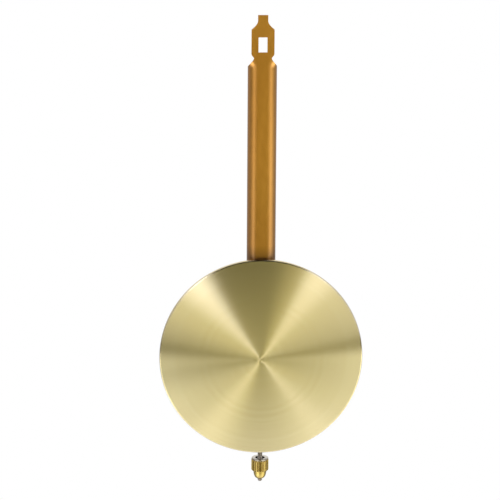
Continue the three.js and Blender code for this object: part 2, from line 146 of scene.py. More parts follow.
class Nodes:
    """A node tree that is filled from code."""

    def __init__(self, tree: bpy.types.NodeTree) -> None:
        """Take the tree to fill."""
        self.tree = tree

    def node(self, kind: str, inputs: dict | None = None, **settings: object) -> bpy.types.Node:
        """Add a node.

        Args:
            kind: The node's type.
            inputs: Values or sockets for its inputs, by name or number.
            **settings: Properties of the node itself.

        Returns:
            The node.
        """
        made = self.tree.nodes.new(kind)
        for key, value in settings.items():
            setattr(made, key, value)
        for key, value in (inputs or {}).items():
            self.feed(made.inputs[key], value)
        return made

    def feed(self, socket: Socket, value: object) -> None:
        """Link a socket to an input, or set the input's own value.

        Args:
            socket: The input.
            value: The socket, number, colour or vector that it gets.
        """
        if isinstance(value, Socket):
            self.tree.links.new(value, socket)
        elif socket.type == "RGBA" and len(value) == 3:
            socket.default_value = (*value, 1)
        else:
            socket.default_value = value

    def math(self, operation: str, *values: object) -> Socket:
        """Add a Math node and return its result."""
        return self.node("ShaderNodeMath", dict(enumerate(values)), operation=operation).outputs[0]

    def split(self, vector: Socket) -> tuple[Socket, ...]:
        """The three parts of a vector."""
        return tuple(self.node("ShaderNodeSeparateXYZ", {0: vector}).outputs)

    def join(self, *parts: object) -> Socket:
        """A vector of three parts."""
        return self.node("ShaderNodeCombineXYZ", dict(enumerate(parts))).outputs[0]

    def ramp(self, value: object, low: float, high: float, to_low: object, to_high: object) -> Socket:
        """Carry a value from one span to another, clamped."""
        inputs = {0: value, 1: low, 2: high, 3: to_low, 4: to_high}
        return self.node("ShaderNodeMapRange", inputs).outputs[0]

    def blend(self, share: object, first: object, second: object) -> Socket:
        """Mix two colours.

        Args:
            share: How much of the second there is.
            first: The first colour.
            second: The second colour.

        Returns:
            The mixed colour.
        """
        made = self.node("ShaderNodeMix", data_type="RGBA")
        for index, value in ((0, share), (6, first), (7, second)):
            self.feed(made.inputs[index], value)
        return made.outputs[2]

    def reach(self, across: object, along: object) -> Socket:
        """The length of a flat vector."""
        squares = [self.math("MULTIPLY", part, part) for part in (across, along)]
        return self.math("SQRT", self.math("ADD", *squares))


class Paint(Nodes):
    """A material's nodes, round one Principled shader."""

    def __init__(self, name: str) -> None:
        """Start a material.

        Args:
            name: The material's name.
        """
        self.material = bpy.data.materials.new(name)
        self.material.use_nodes = True
        super().__init__(self.material.node_tree)
        self.tree.nodes.clear()
        self.shader = self.node("ShaderNodeBsdfPrincipled")
        self.node("ShaderNodeOutputMaterial", {"Surface": self.shader.outputs[0]})

    def place(self, stretch: Sequence[float] = EVEN) -> Socket:
        """Object coordinates, stretched for a pattern that runs one way."""
        where = self.node("ShaderNodeTexCoord").outputs["Object"]
        return self.node("ShaderNodeMapping", {"Vector": where, "Scale": stretch}).outputs[0]

    def noise(self, scale: float, detail: float = FINE, stretch: Sequence[float] = EVEN) -> Socket:
        """Noise of a given fineness, per metre, from 0 to 1."""
        inputs = {"Vector": self.place(stretch), "Scale": scale, "Detail": detail}
        return self.node("ShaderNodeTexNoise", inputs).outputs[0]

    def bump(self, height: object, distance: float) -> None:
        """Add a bump on top of those already there.

        Args:
            height: The pattern, from 0 to 1.
            distance: Its depth in metres.
        """
        normal = self.shader.inputs["Normal"]
        inputs = {"Height": height, "Distance": distance}
        if normal.is_linked:
            inputs["Normal"] = normal.links[0].from_socket
        self.feed(normal, self.node("ShaderNodeBump", inputs).outputs[0])

    def set(self, **inputs: object) -> None:
        """Set or link the shader's own sockets; an underscore stands for a space."""
        for key, value in inputs.items():
            self.feed(self.shader.inputs[key.replace("_", " ")], value)


# Finishes.


@dataclass(frozen=True)
class Lacquer:
    """Satin gold-bronze lacquer on pressed sheet, speckled, with painted shade where it enters the bob and
    fainter painted shade higher up.
    """

    name: str = "gold_bronze_lacquer"
    body: Colour = srgb(213, 151, 56)
    deep: Colour = srgb(198, 135, 44)
    speck: Colour = srgb(128, 82, 22)
    speck_span: Point2 = (0.64, 0.74)  # the grain's values that show as specks
    speck_share: float = 0.5
    # the colour of the painted shade on the rod near the bob
    darkening: Colour = srgb(92, 56, 16)
    deep_shade_reach: float = 7 * MM  # how far up the deep painted shade reaches
    deep_shade_share: float = 0.5
    faint_shade_reach: float = 55 * MM  # how far up the faint painted shade reaches
    faint_shade_share: float = 0.24
    roughness: float = 0.34
    uneven: Point2 = (-0.04, 0.06)  # how far the roughness strays
    coat_roughness: float = 0.2
    metallic: float = 0.9
    clouds: float = 60.0
    cloud_stretch: Point3 = (1, 1, 0.25)  # less than 1 draws a pattern out along the rod
    streaks: float = 420.0
    streak_stretch: Point3 = (1, 1, 0.4)
    grain: float = 2600.0
    grain_depth: float = 0.003 * MM
    runs: float = 160.0
    run_stretch: Point3 = (1, 1, 0.3)
    run_depth: float = 0.008 * MM

    def material(self, entry: float) -> Material:
        """Build the material.

        Args:
            entry: The height at which the rod goes into the bob.

        Returns:
            The material.
        """
        paint = Paint(self.name)
        cloud = paint.ramp(paint.noise(self.clouds, FINEST, self.cloud_stretch), *MOST, 0, 1)
        speck = paint.ramp(paint.noise(self.grain, SOFT), *self.speck_span, 0, self.speck_share)
        colour = paint.blend(speck, paint.blend(cloud, self.body, self.deep), self.speck)
        height = paint.split(paint.place())[2]
        # Painted shade: the rod darkens towards where it enters the bob, deeply over the last few
        # millimetres and faintly further up, but not inside the bob.
        thick = paint.ramp(height, entry, entry + self.deep_shade_reach, self.deep_shade_share, 0)
        thin = paint.ramp(height, entry, entry + self.faint_shade_reach, self.faint_shade_share, 0)
        outside = paint.ramp(height, entry - self.deep_shade_reach, entry, 0, 1)
        painted_shade = paint.math("MULTIPLY", paint.math("ADD", thick, thin), outside)
        streak = paint.noise(self.streaks, FINE, self.streak_stretch)
        rough = paint.ramp(streak, *NEARLY_ALL, *(self.roughness + stray for stray in self.uneven))
        paint.set(Base_Color=paint.blend(painted_shade, colour, self.darkening), Roughness=rough, Metallic=self.metallic)
        paint.set(Coat_Weight=1.0, Coat_Roughness=self.coat_roughness)
        paint.bump(paint.noise(self.grain, SOFT), self.grain_depth)
        paint.bump(paint.noise(self.runs, SOFT, self.run_stretch), self.run_depth)
        return paint.material


@dataclass(frozen=True)
class SpunBrass:
    """Pale brass, brushed in circles about the bob's axis, whose glints fan out from the centre."""

    name: str = "spun_brass"
    pale: Colour = srgb(234, 220, 180)
    warm: Colour = srgb(228, 211, 166)
    roughness: float = 0.235
    anisotropy: float = 1.0
    radius: float = 52.5 * MM
    lines: float = 5200.0
    line_depth: float = 0.00005 * MM
    line_share: float = 0.4
    bands: float = 26.0
    band_span: Point2 = (0.4, 0.6)
    band_share: float = 0.3
    uneven: Point2 = (-0.015, 0.015)  # how far the roughness strays from line to line

    def material(self) -> Material:
        """Build the material.

        Returns:
            The material.
        """
        paint = Paint(self.name)
        across = paint.split(paint.node("ShaderNodeUVMap", uv_map=UV_NAME).outputs[0])[0]

        def rings(scale: float, detail: float) -> Socket:
            """Noise that changes only with the distance from the centre."""
            inputs = {"W": across, "Scale": scale, "Detail": detail}
            return paint.node("ShaderNodeTexNoise", inputs, noise_dimensions="1D").outputs[0]

        groove, band = rings(self.lines * self.radius, FINEST), rings(self.bands, FINE)
        fine = paint.ramp(groove, *MOST, 0, self.line_share)
        tone = paint.math("ADD", fine, paint.ramp(band, *self.band_span, 0, self.band_share))
        rough = paint.ramp(groove, *NEARLY_ALL, *(self.roughness + stray for stray in self.uneven))
        tangent = paint.node("ShaderNodeTangent", direction_type="UV_MAP", uv_map=UV_NAME).outputs[0]
        paint.set(Base_Color=paint.blend(tone, self.pale, self.warm), Roughness=rough, Metallic=1.0)
        paint.set(Anisotropic=self.anisotropy, Tangent=tangent)
        paint.bump(groove, self.line_depth)
        return paint.material


@dataclass(frozen=True)
class ShadeAndWear:
    """Painted shade in grooves and recesses, and wear at an edge, on a turned piece: a darker colour by the
    distance from its axis, above a height.
    """

    centre: Point2
    root: float  # the distance where it is strongest
    crest: float  # the distance where it ends
    colour: Colour
    share: float = 1.0
    above: float = -1.0
    fade: float = 0.1 * MM  # the height over which it sets in


@dataclass(frozen=True)
class Metal:
    """A plain metal with a cloudy tone and fine lines, or fine specks where nothing is stretched."""

    name: str
    body: Colour
    shade: Colour
    roughness: float
    lines: float = 3000.0
    stretch: Point3 = (1, 1, 0.04)
    depth: float = 0.002 * MM
    metallic: float = 1.0
    clouds: float = 240.0
    cloud_share: float = 0.6
    line_share: float = 0.4
    uneven: Point2 = (-0.05, 0.08)  # how far the roughness strays

    def material(self, *shade_and_wear: ShadeAndWear) -> Material:
        """Build the material.

        Args:
            *dirt: Where the colour darkens: painted shade in grooves and recesses, and wear.

        Returns:
            The material.
        """
        paint = Paint(self.name)
        line = paint.noise(self.lines, FINE, self.stretch)
        cloud = paint.ramp(paint.noise(self.clouds, FINEST), *MOST, 0, self.cloud_share)
        tone = paint.math("ADD", cloud, paint.ramp(line, *NEARLY_ALL, 0, self.line_share))
        rough = paint.ramp(line, *NEARLY_ALL, *(self.roughness + stray for stray in self.uneven))
        colour = paint.blend(tone, self.body, self.shade)
        # Each mark darkens the colour by the distance from the axis: painted shade in grooves and recesses,
        # and wear at an edge.
        for darkening in shade_and_wear:
            *flat, z = paint.split(paint.place())
            out = paint.reach(*(paint.math("SUBTRACT", *pair) for pair in zip(flat, darkening.centre)))
            amount = paint.ramp(z, darkening.above, darkening.above + darkening.fade, 0, darkening.share)
            colour = paint.blend(paint.ramp(out, darkening.root, darkening.crest, amount, 0), colour, darkening.colour)
        paint.set(Base_Color=colour, Roughness=rough, Metallic=self.metallic)
        paint.bump(line, self.depth)
        return paint.material


STUD_STEEL = Metal("stud_steel", srgb(226, 219, 208), srgb(200, 191, 178), 0.36, 2600)
NUT_BRASS = Metal("nut_brass", srgb(198, 174, 102), srgb(176, 150, 78), 0.3, 2400)
WASHER_PLATE = Metal("washer_plate", srgb(232, 226, 214), srgb(214, 207, 194), 0.3, 4000, EVEN)
ZINC_SHEET = Metal("zinc_sheet", srgb(196, 196, 192), srgb(164, 163, 158), 0.38, 2200, (0.06, 1, 1))
RIVET_STEEL = Metal("rivet_steel", srgb(190, 187, 180), srgb(150, 146, 138), 0.33, 3600, EVEN)
BLANK_IRON = Metal("blank_iron", srgb(92, 92, 94), srgb(58, 58, 60), 0.6, 1400, EVEN, 0.01 * MM, 0.85)
SPRING_STEEL = Metal("spring_steel", srgb(150, 140, 126), srgb(112, 100, 86), 0.28, 3200)

# Painted shade in the thread's and the knurl's grooves and in the nut's counterbore, and the colour of real
# wear at the washer's edge.
THREAD_GROOVE_SHADE = srgb(120, 111, 100)
KNURL_GROOVE_SHADE = srgb(134, 102, 52)
HUB_SHADE = srgb(30, 22, 16)
WORN_PLATE = srgb(156, 136, 104)


# Geometry Nodes.


class Tree(Nodes):
    """A geometry tree built in code, with named inputs."""

    def __init__(self, name: str, inputs: Sequence[tuple[str, str]]) -> None:
        """Start a tree.

        Args:
            name: The tree's name.
            inputs: Name and socket type of each input after the geometry, before the material.
        """
        super().__init__(bpy.data.node_groups.new(name, "GeometryNodeTree"))
        face = self.tree.interface
        face.new_socket("Geometry", in_out="INPUT", socket_type="NodeSocketGeometry")
        self.ids = {
            label: face.new_socket(label, in_out="INPUT", socket_type="NodeSocket" + kind).identifier
            for label, kind in (*inputs, ("Material", "Material"))
        }
        face.new_socket("Geometry", in_out="OUTPUT", socket_type="NodeSocketGeometry")
        self.given = self.node("NodeGroupInput").outputs

    def integer(self, operation: str, *values: object) -> Socket:
        """Add an Integer Math node and return its result."""
        return self.node("FunctionNodeIntegerMath", dict(enumerate(values)), operation=operation).outputs[0]

    def position(self) -> Socket:
        """Where each point is."""
        return self.node("GeometryNodeInputPosition").outputs[0]

    def move(self, geometry: Socket, target: Socket) -> Socket:
        """Put each point at a target."""
        return self.node("GeometryNodeSetPosition", {"Geometry": geometry, "Position": target}).outputs[0]

    def close(self, geometry: Socket) -> None:
        """End the tree: real geometry with its material.

        Args:
            geometry: The finished geometry.
        """
        real = self.node("GeometryNodeRealizeInstances", {0: geometry}).outputs[0]
        inputs = {0: real, "Material": self.given["Material"]}
        self.node("NodeGroupOutput", {0: self.node("GeometryNodeSetMaterial", inputs).outputs[0]})

    def run(self, subject: Piece, values: dict[str, object]) -> Piece:
        """Run the tree on an object and keep the result as its plain mesh.

        Args:
            subject: The object, whose mesh is the tree's geometry.
            values: The inputs by name.

        Returns:
            The same object.
        """
        modifier = subject.modifiers.new(self.tree.name, "NODES")
        modifier.node_group = self.tree
        for label, value in values.items():
            modifier[self.ids[label]] = value
        return plain(subject)


def turning_tree() -> Tree:
    """Build the tree that turns a profile, points of (radius, 0, height), about Z into a closed skin.

    Returns:
        The tree.
    """
    tree = Tree("turning", [("Points", "Int"), ("Segments", "Int")])
    given = tree.given
    counts = {"Vertices X": tree.integer("ADD", given["Segments"], 1), "Vertices Y": given["Points"]}
    grid = tree.node("GeometryNodeMeshGrid", counts).outputs[0]
    index = tree.node("GeometryNodeInputIndex").outputs[0]
    step = tree.integer("DIVIDE", index, given["Points"])
    row = tree.integer("MODULO", index, given["Points"])
    sample = tree.node("GeometryNodeSampleIndex", data_type="FLOAT_VECTOR", domain="POINT")
    for label, value in (("Geometry", given["Geometry"]), ("Value", tree.position()), ("Index", row)):
        tree.feed(sample.inputs[label], value)
    radius, _, height = tree.split(sample.outputs[0])
    angle = tree.math("MULTIPLY", tree.math("DIVIDE", step, given["Segments"]), TAU)
    across = tree.math("MULTIPLY", radius, tree.math("COSINE", angle))
    along = tree.math("MULTIPLY", radius, tree.math("SINE", angle))
    skin = tree.move(grid, tree.join(across, along, height))
    inputs = {"Geometry": skin, "Distance": SAME_POINT}
    tree.close(tree.node("GeometryNodeMergeByDistance", inputs).outputs[0])
    return tree


def grooving_tree() -> Tree:
    """Build the tree that cuts straight or helical grooves into a piece turned about Z.

    Returns:
        The tree.
    """
    labels = ["Starts", "Turns per metre", "Depth", "Crest", "Flank", "Low", "High", "Fade"]
    tree = Tree("grooving", [(label, "Float") for label in labels])
    given = tree.given
    x, y, z = tree.split(tree.position())
    angle = tree.math("DIVIDE", tree.math("ARCTAN2", y, x), TAU)
    climb = tree.math("MULTIPLY", z, given["Turns per metre"])
    phase = tree.math("SUBTRACT", climb, tree.math("MULTIPLY", angle, given["Starts"]))
    share = tree.math("ABSOLUTE", tree.math("SUBTRACT", tree.math("FRACT", phase), 0.5))
    end = tree.math("ADD", given["Crest"], given["Flank"])
    cut = tree.ramp(share, given["Crest"], end, 0, given["Depth"])
    from_low = tree.math("DIVIDE", tree.math("SUBTRACT", z, given["Low"]), given["Fade"])
    from_high = tree.math("DIVIDE", tree.math("SUBTRACT", given["High"], z), given["Fade"])
    ends = tree.ramp(tree.math("MINIMUM", from_low, from_high), 0, 1, 0, 1)
    radius = tree.math("MAXIMUM", tree.reach(x, y), LEAST_RADIUS)
    scale = tree.math("SUBTRACT", 1, tree.math("DIVIDE", tree.math("MULTIPLY", cut, ends), radius))
    target = tree.join(tree.math("MULTIPLY", x, scale), tree.math("MULTIPLY", y, scale), z)
    tree.close(tree.move(given["Geometry"], target))
    return tree


def setting_tree() -> Tree:
    """Build the tree that sets a copy of one piece on each point.

    Returns:
        The tree.
    """
    tree = Tree("setting", [("Piece", "Object")])
    piece = tree.node("GeometryNodeObjectInfo", {"Object": tree.given["Piece"]}).outputs["Geometry"]
    inputs = {"Points": tree.given["Geometry"], "Instance": piece}
    tree.close(tree.node("GeometryNodeInstanceOnPoints", inputs).outputs[0])
    return tree


# Meshes.


def clamped(value: float) -> float:
    """Keep a value between 0 and 1."""
    return min(1.0, max(0.0, value))


def smooth(share: float) -> float:
    """Turn an even step from 0 to 1 into one with soft ends."""
    return share * share * (3 - 2 * share)


def from_points(name: str, points: Sequence[Sequence[float]], faces: Sequence = ()) -> Piece:
    """Make an object of points and faces and put it in the scene.

    Args:
        name: The object's name.
        points: The places of its points.
        faces: The numbers of each face's points.

    Returns:
        The object.
    """
    mesh = bpy.data.meshes.new(name)
    mesh.from_pydata([tuple(point) for point in points], [], [tuple(face) for face in faces])
    made = bpy.data.objects.new(name, mesh)
    bpy.context.scene.collection.objects.link(made)
    return made


def lattice(rows: int, width: int, is_closed: bool = False) -> list[tuple[int, ...]]:
    """Lay faces between neighbouring rows of points.

    Args:
        rows: How many rows there are.
        width: Points in each row.
        is_closed: Whether a row's last point joins its first.

    Returns:
        The faces, row by row.
    """
    faces = []
    for row in range(rows - 1):
        for column in range(width if is_closed else width - 1):
            start, after = row * width + column, row * width + (column + 1) % width
            faces.append((start, after, after + width, start + width))
    return faces


def plain(subject: Piece) -> Piece:
    """Replace an object's mesh by what its modifiers make of it.

    Args:
        subject: The object.

    Returns:
        The same object.
    """
    graph = bpy.context.evaluated_depsgraph_get()
    mesh = bpy.data.meshes.new_from_object(subject.evaluated_get(graph))
    subject.modifiers.clear()
    subject.data = mesh
    return subject


def weld(subject: Piece) -> None:
    """Join points that are one, and drop points that no face uses.

    Args:
        subject: The object.
    """
    skin = bmesh.new()
    skin.from_mesh(subject.data)
    bmesh.ops.remove_doubles(skin, verts=skin.verts, dist=SAME_POINT)
    loose = [vert for vert in skin.verts if not vert.link_faces]
    bmesh.ops.delete(skin, geom=loose, context="VERTS")
    skin.to_mesh(subject.data)
    skin.free()


def tidy(subject: Piece, corner: float = 32.0) -> None:
    """Turn the faces out, shade smooth and keep sharp edges crisp.

    Args:
        subject: The object.
        corner: Edges sharper than this, in degrees, are kept crisp.
    """
    mesh = subject.data
    skin = bmesh.new()
    skin.from_mesh(mesh)
    bmesh.ops.recalc_face_normals(skin, faces=skin.faces)
    skin.to_mesh(mesh)
    skin.free()
    mesh.shade_smooth()
    mesh.set_sharp_from_angle(angle=math.radians(corner))


def arc(centre: Point2, radius: float, start: float, stop: float, steps: int = 6) -> list[Point2]:
    """Lay points on an arc.

    Args:
        centre: The arc's centre.
        radius: Its radius.
        start: The angle that it starts at, in degrees.
        stop: The angle that it ends at.
        steps: Straight stretches in it.

    Returns:
        The points.
    """
    x, y = centre
    angles = [math.radians(start + (stop - start) * step / steps) for step in range(steps + 1)]
    return [(x + radius * math.cos(angle), y + radius * math.sin(angle)) for angle in angles]


def rounded(points: Sequence[Point2], radii: Sequence[float], steps: int = 4) -> list[Point2]:
    """Round the corners of an open outline.

    Args:
        points: The corners and ends.
        radii: How much of each side a corner takes; 0 keeps it sharp.
        steps: Straight faces for each rounded corner.

    Returns:
        The rounded outline.
    """
    made: list[Point2] = []
    for index, (point, reach) in enumerate(zip(points, radii)):
        if not reach or index in (0, len(points) - 1):
            made.append(point)
            continue
        corner, before, after = Vector(point), Vector(points[index - 1]), Vector(points[index + 1])
        start = corner + (before - corner).normalized() * reach
        stop = corner + (after - corner).normalized() * reach
        for step in range(steps + 1):
            share = step / steps
            made.append(tuple(start.lerp(corner, share).lerp(corner.lerp(stop, share), share)))
    return made


@dataclass
class Shop:
    """The trees that the pieces share, and the way that a finished piece joins its body."""

    turning: Tree = field(default_factory=turning_tree)
    grooving: Tree = field(default_factory=grooving_tree)
    setting: Tree = field(default_factory=setting_tree)

    def turned(self, name: str, profile: Sequence[Point2], segments: int, material: Material,
               axis: Axis = Axis.UP, centre: Vector = Vector()) -> Piece:
        """Turn a profile into a closed piece.

        Args:
            name: The piece's name.
            profile: Points of (radius, height).
            segments: Faces round the axis.
            material: Its finish.
            axis: The axis that it is turned about.
            centre: A point on the axis, where height is 0.

        Returns:
            The piece, with its place in its mesh.
        """
        blank = from_points(name, [(radius, 0, height) for radius, height in profile])
        values = {"Points": len(profile), "Segments": segments, "Material": material}
        piece = self.turning.run(blank, values)
        turn = Matrix.Rotation(-math.pi / 2, 4, "X") if axis is Axis.FRONT else Matrix()
        piece.data.transform(Matrix.Translation(centre) @ turn)
        tidy(piece)
        return piece

    def set_on(self, name: str, points: Sequence[Vector], piece: Piece, material: Material) -> Piece:
        """Set copies of a piece on points, and drop the pattern piece.

        Args:
            name: The name of the piece that the copies make together.
            points: Where the copies go.
            piece: The pattern piece.
            material: Their finish.

        Returns:
            The copies, as one piece.
        """
        seats = from_points(name, points)
        made = self.setting.run(seats, {"Piece": piece, "Material": material})
        bpy.data.objects.remove(piece)
        tidy(made)
        return made

    @staticmethod
    def deliver(piece: Piece, body: str, slot: str, *nodes: str) -> None:
        """Let a piece ride on its body and stand for its nodes.

        Args:
            piece: The finished piece.
            body: The body that it moves with.
            slot: The record's material slot; not used.
            *nodes: The nodes that it stands for.
        """
        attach(piece, body)
        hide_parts(*nodes)
        faces = len(piece.data.polygons)
        log.info("%s: %d faces, rides on %s, for %s", piece.name, faces, body, ", ".join(nodes))


@dataclass
class Sheet:
    """Pressed sheet metal: a mid-surface that gets its thickness and its broken edges."""

    thickness: float
    edge: float = 0.1 * MM
    edge_steps: int = 2
    edge_angle: float = 50.0  # edges sharper than this, in degrees, are broken

    def strip(self, name: str, path: Sequence[Point2], half: float, place: Callable,
              columns: int = 6) -> Piece:
        """Bend a plain strip along a path.

        Args:
            name: The piece's name.
            path: The points of the middle of the sheet.
            half: Half the strip's width.
            place: Turns (path point, distance across) into a place.
            columns: Faces across the strip.

        Returns:
            The mid-surface.
        """
        across = [half * (2 * step / columns - 1) for step in range(columns + 1)]
        points = [place(point, out) for point in path for out in across]
        return from_points(name, points, lattice(len(path), columns + 1))

    def slotted(self, name: str, rows: Sequence[float], outer: Callable, inner: Callable, is_open: Callable,
                place: Callable, columns: int = 14, middle: int = 4) -> Piece:
        """Lay rows across a piece that is alike on both sides and has an opening in its middle.

        Args:
            name: The piece's name.
            rows: Where the rows lie, along the piece.
            outer: Half the piece's width at a row, in the unit that place takes.
            inner: Half the opening's width at a row, or where the middle faces end.
            is_open: Whether the opening holds between two rows.
            place: Turns (row, distance across) into a place.
            columns: Faces on each side.
            middle: Faces over the middle.

        Returns:
            The mid-surface.
        """
        points: list[Point3] = []
        for row in rows:
            edge, gap = outer(row), inner(row)
            side = [gap + (edge - gap) * step / columns for step in range(columns + 1)]
            centre = [gap * (2 * step / middle - 1) for step in range(1, middle)]
            points += [place(row, out) for out in [-value for value in reversed(side)] + centre + side]
        width = 2 * columns + middle + 1

        def is_metal(row: int, column: int) -> bool:
            """Whether a face lies beside the opening, or past its ends."""
            return not (columns <= column < columns + middle and is_open(rows[row], rows[row + 1]))

        faces = lattice(len(rows), width)
        kept = [face for index, face in enumerate(faces) if is_metal(*divmod(index, width - 1))]
        return from_points(name, points, kept)

    def finish(self, piece: Piece, material: Material, corner: float = 32.0) -> None:
        """Give the mid-surface its thickness, break its edges and dress it.

        Args:
            piece: The mid-surface.
            material: Its finish.
            corner: Edges sharper than this, in degrees, stay crisp.
        """
        weld(piece)
        wall = piece.modifiers.new("wall", "SOLIDIFY")
        wall.thickness = self.thickness
        wall.offset = 0
        wall.use_even_offset = True
        rim = piece.modifiers.new("rim", "BEVEL")
        rim.width = self.edge
        rim.segments = self.edge_steps
        rim.limit_method = "ANGLE"
        rim.angle_limit = math.radians(self.edge_angle)
        plain(piece)
        piece.data.materials.clear()
        piece.data.materials.append(material)
        tidy(piece, corner)


@dataclass(frozen=True)
class Rivet:
    """A rivet along Y, seated at height 0: its domed head is to the rear, its upset tail to the front."""

    length: float  # with its head and tail
    shank: float = 1.2 * MM  # a radius, like the head and the tail
    head: float = 2.2 * MM
    head_height: float = 0.9 * MM
    tail: float = 1.9 * MM
    tail_height: float = 0.5 * MM
    tail_softness: float = 0.3  # of the tail's height
    dome: float = 0.8  # the lower, the fuller the head
    dome_steps: int = 10
    segments: int = 32

    @property
    def grip(self) -> float:
        """How far it is from the seat to the tail."""
        return self.length - self.head_height - self.tail_height

    def cap(self) -> list[Point2]:
        """Lay the outline of the head.

        Returns:
            The points, from the head's top to the shank.
        """
        angles = [math.radians(90 * step / self.dome_steps) for step in range(self.dome_steps)]
        heights = [self.head_height * math.cos(angle) ** self.dome for angle in angles]
        dome = [(self.head * math.sin(angle), height) for angle, height in zip(angles, heights)]
        return dome + [(self.head, 0), (self.shank, 0)]

    def profile(self) -> list[Point2]:
        """Lay the whole outline.

        Returns:
            The points, from the head's top to the tail's end.
        """
        end, soft = -self.grip - self.tail_height, self.tail_softness * self.tail_height
        tail = [(self.shank, -self.grip), (self.tail, -self.grip), (self.tail, end), (0, end)]
        return self.cap() + rounded(tail, [0, soft, soft, 0])


# The rod.


@dataclass
class Rod:
    """The pressed rod: tab, head with the hook eye, neck, and a channel that is open to the rear."""

    shop: Shop
    place: Place = field(default_factory=lambda: Place.of("rod"))
    sheet: Sheet = field(default_factory=lambda: Sheet(0.8 * MM, 0.12 * MM))
    tab_width: float = 5.1 * MM
    tab_length: float = 3.0 * MM
    flare_length: float = 4.4 * MM
    flare_curve: float = 1.8  # the higher, the more gently the flare begins
    head_width: float = 11.6 * MM
    eye_width: float = 4.5 * MM
    eye_height: float = 7.8 * MM
    eye_corner: float = 0.2 * MM
    eye_limit: float = 0.6  # the most of the rod's width that the eye's faces may take
    below_eye: float = 0.4 * MM
    neck_width: float = 9.0 * MM
    notch_length: float = 2.6 * MM
    notch_middle: float = 0.62  # the share of the notch's length where half its step is done
    shoulder_length: float = 5.4 * MM
    shoulder_start: float = 1.75  # the higher, the more gently the shoulder begins
    shoulder_end: float = 2.6  # the higher, the more gently it ends
    web_width: float = 5.2 * MM
    flat_below: float = 0.02  # a channel that is bent less than this share counts as flat
    columns: int = 18
    corner: float = 40.0

    def __post_init__(self) -> None:
        """Work out the places that follow from the sizes and the frame."""
        self.top = self.place.high.z
        self.end = self.place.low.z
        self.channel_width = self.place.size.x
        self.bend = (self.channel_width - self.web_width - self.sheet.thickness) / 2
        self.head_top = self.top - self.tab_length - self.flare_length
        self.head_low = -self.eye_height - self.below_eye
        self.neck = self.head_low - self.notch_length
        self.channel_top = self.neck - self.shoulder_length

    def half(self, z: float) -> float:
        """Find half the width seen from the front.

        Args:
            z: The height.

        Returns:
            Half the width there.
        """
        tab, head = self.tab_width / 2, self.head_width / 2
        neck, channel = self.neck_width / 2, self.channel_width / 2
        if z > self.head_top:
            share = clamped((self.top - self.tab_length - z) / self.flare_length)
            return tab + (head - tab) * share ** self.flare_curve
        if z > self.head_low:
            return head
        if z > self.neck:
            power = math.log(0.5) / math.log(self.notch_middle)
            share = ((self.head_low - z) / self.notch_length) ** power
            return head - (head - neck) * smooth(share)
        return neck + (channel - neck) * self.formed(z)

    def formed(self, z: float) -> float:
        """How far the shoulder has widened and bent into the channel at a height, from 0 to 1."""
        share = clamped((self.neck - z) / self.shoulder_length)
        return 1 - (1 - share ** self.shoulder_start) ** self.shoulder_end

    def at(self, z: float, out: float) -> Point3:
        """Find a place on the middle of the sheet.

        Args:
            z: The height.
            out: The share of the half width, less than 0 to the left.

        Returns:
            The place.
        """
        half, bent = self.half(z), self.formed(z)
        web = self.web_width / 2
        side, reach = math.copysign(1, out), abs(out)
        if bent < self.flat_below or reach * half <= web:
            return out * half, 0.0, z
        radius = self.bend / bent
        lean = math.asin(min(1.0, (half - web) / (radius + self.sheet.thickness / 2)))
        turn = lean * (reach * half - web) / (half - web)
        return side * (web + radius * math.sin(turn)), radius * (1 - math.cos(turn)), z

    def eye_half(self, z: float) -> float:
        """Find half the eye's width, or where the middle faces end above and below the eye.

        Args:
            z: The height.

        Returns:
            The share of the rod's half width.
        """
        corner = self.eye_corner
        depth = min(max(0.0, -z), max(0.0, z + self.eye_height), corner)
        inset = corner - math.sqrt(max(0.0, corner ** 2 - (corner - depth) ** 2))
        return min((self.eye_width / 2 - inset) / self.half(z), self.eye_limit)

    def rows(self) -> list[float]:
        """Lay the heights of the rows, closer together where the outline turns.

        Returns:
            The heights, from the top down.
        """
        gap_above, gap_below = 0.15 * MM, 0.1 * MM
        corner = [self.eye_corner * (1 - math.cos(math.radians(angle))) for angle in (0, 22, 45, 68, 90)]
        eye = [-step for step in corner] + [step - self.eye_height for step in corner]
        above = np.linspace(self.top, gap_above, num=30)
        inside = np.linspace(-corner[-1], corner[-1] - self.eye_height, num=12)
        below = np.linspace(-self.eye_height - gap_below, self.channel_top, num=44)
        channel = np.linspace(self.channel_top, self.end, num=60)
        levels = [*above, *eye, *inside[1:-1], *below, *channel[1:]]
        return sorted({float(level) for level in levels}, reverse=True)

    def build(self) -> None:
        """Make the rod and let it stand for its node."""
        def is_open(upper: float, lower: float) -> bool:
            """Whether two rows lie within the eye."""
            return upper <= 0 and lower >= -self.eye_height

        piece = self.sheet.slotted(
            "pressed_rod", self.rows(), lambda z: 1.0, self.eye_half, is_open, self.at, self.columns)
        self.sheet.finish(piece, Lacquer().material(Place.of("bob_shell").high.z), self.corner)
        self.shop.deliver(piece, "root", "lacquer", "rod")


# The bob.


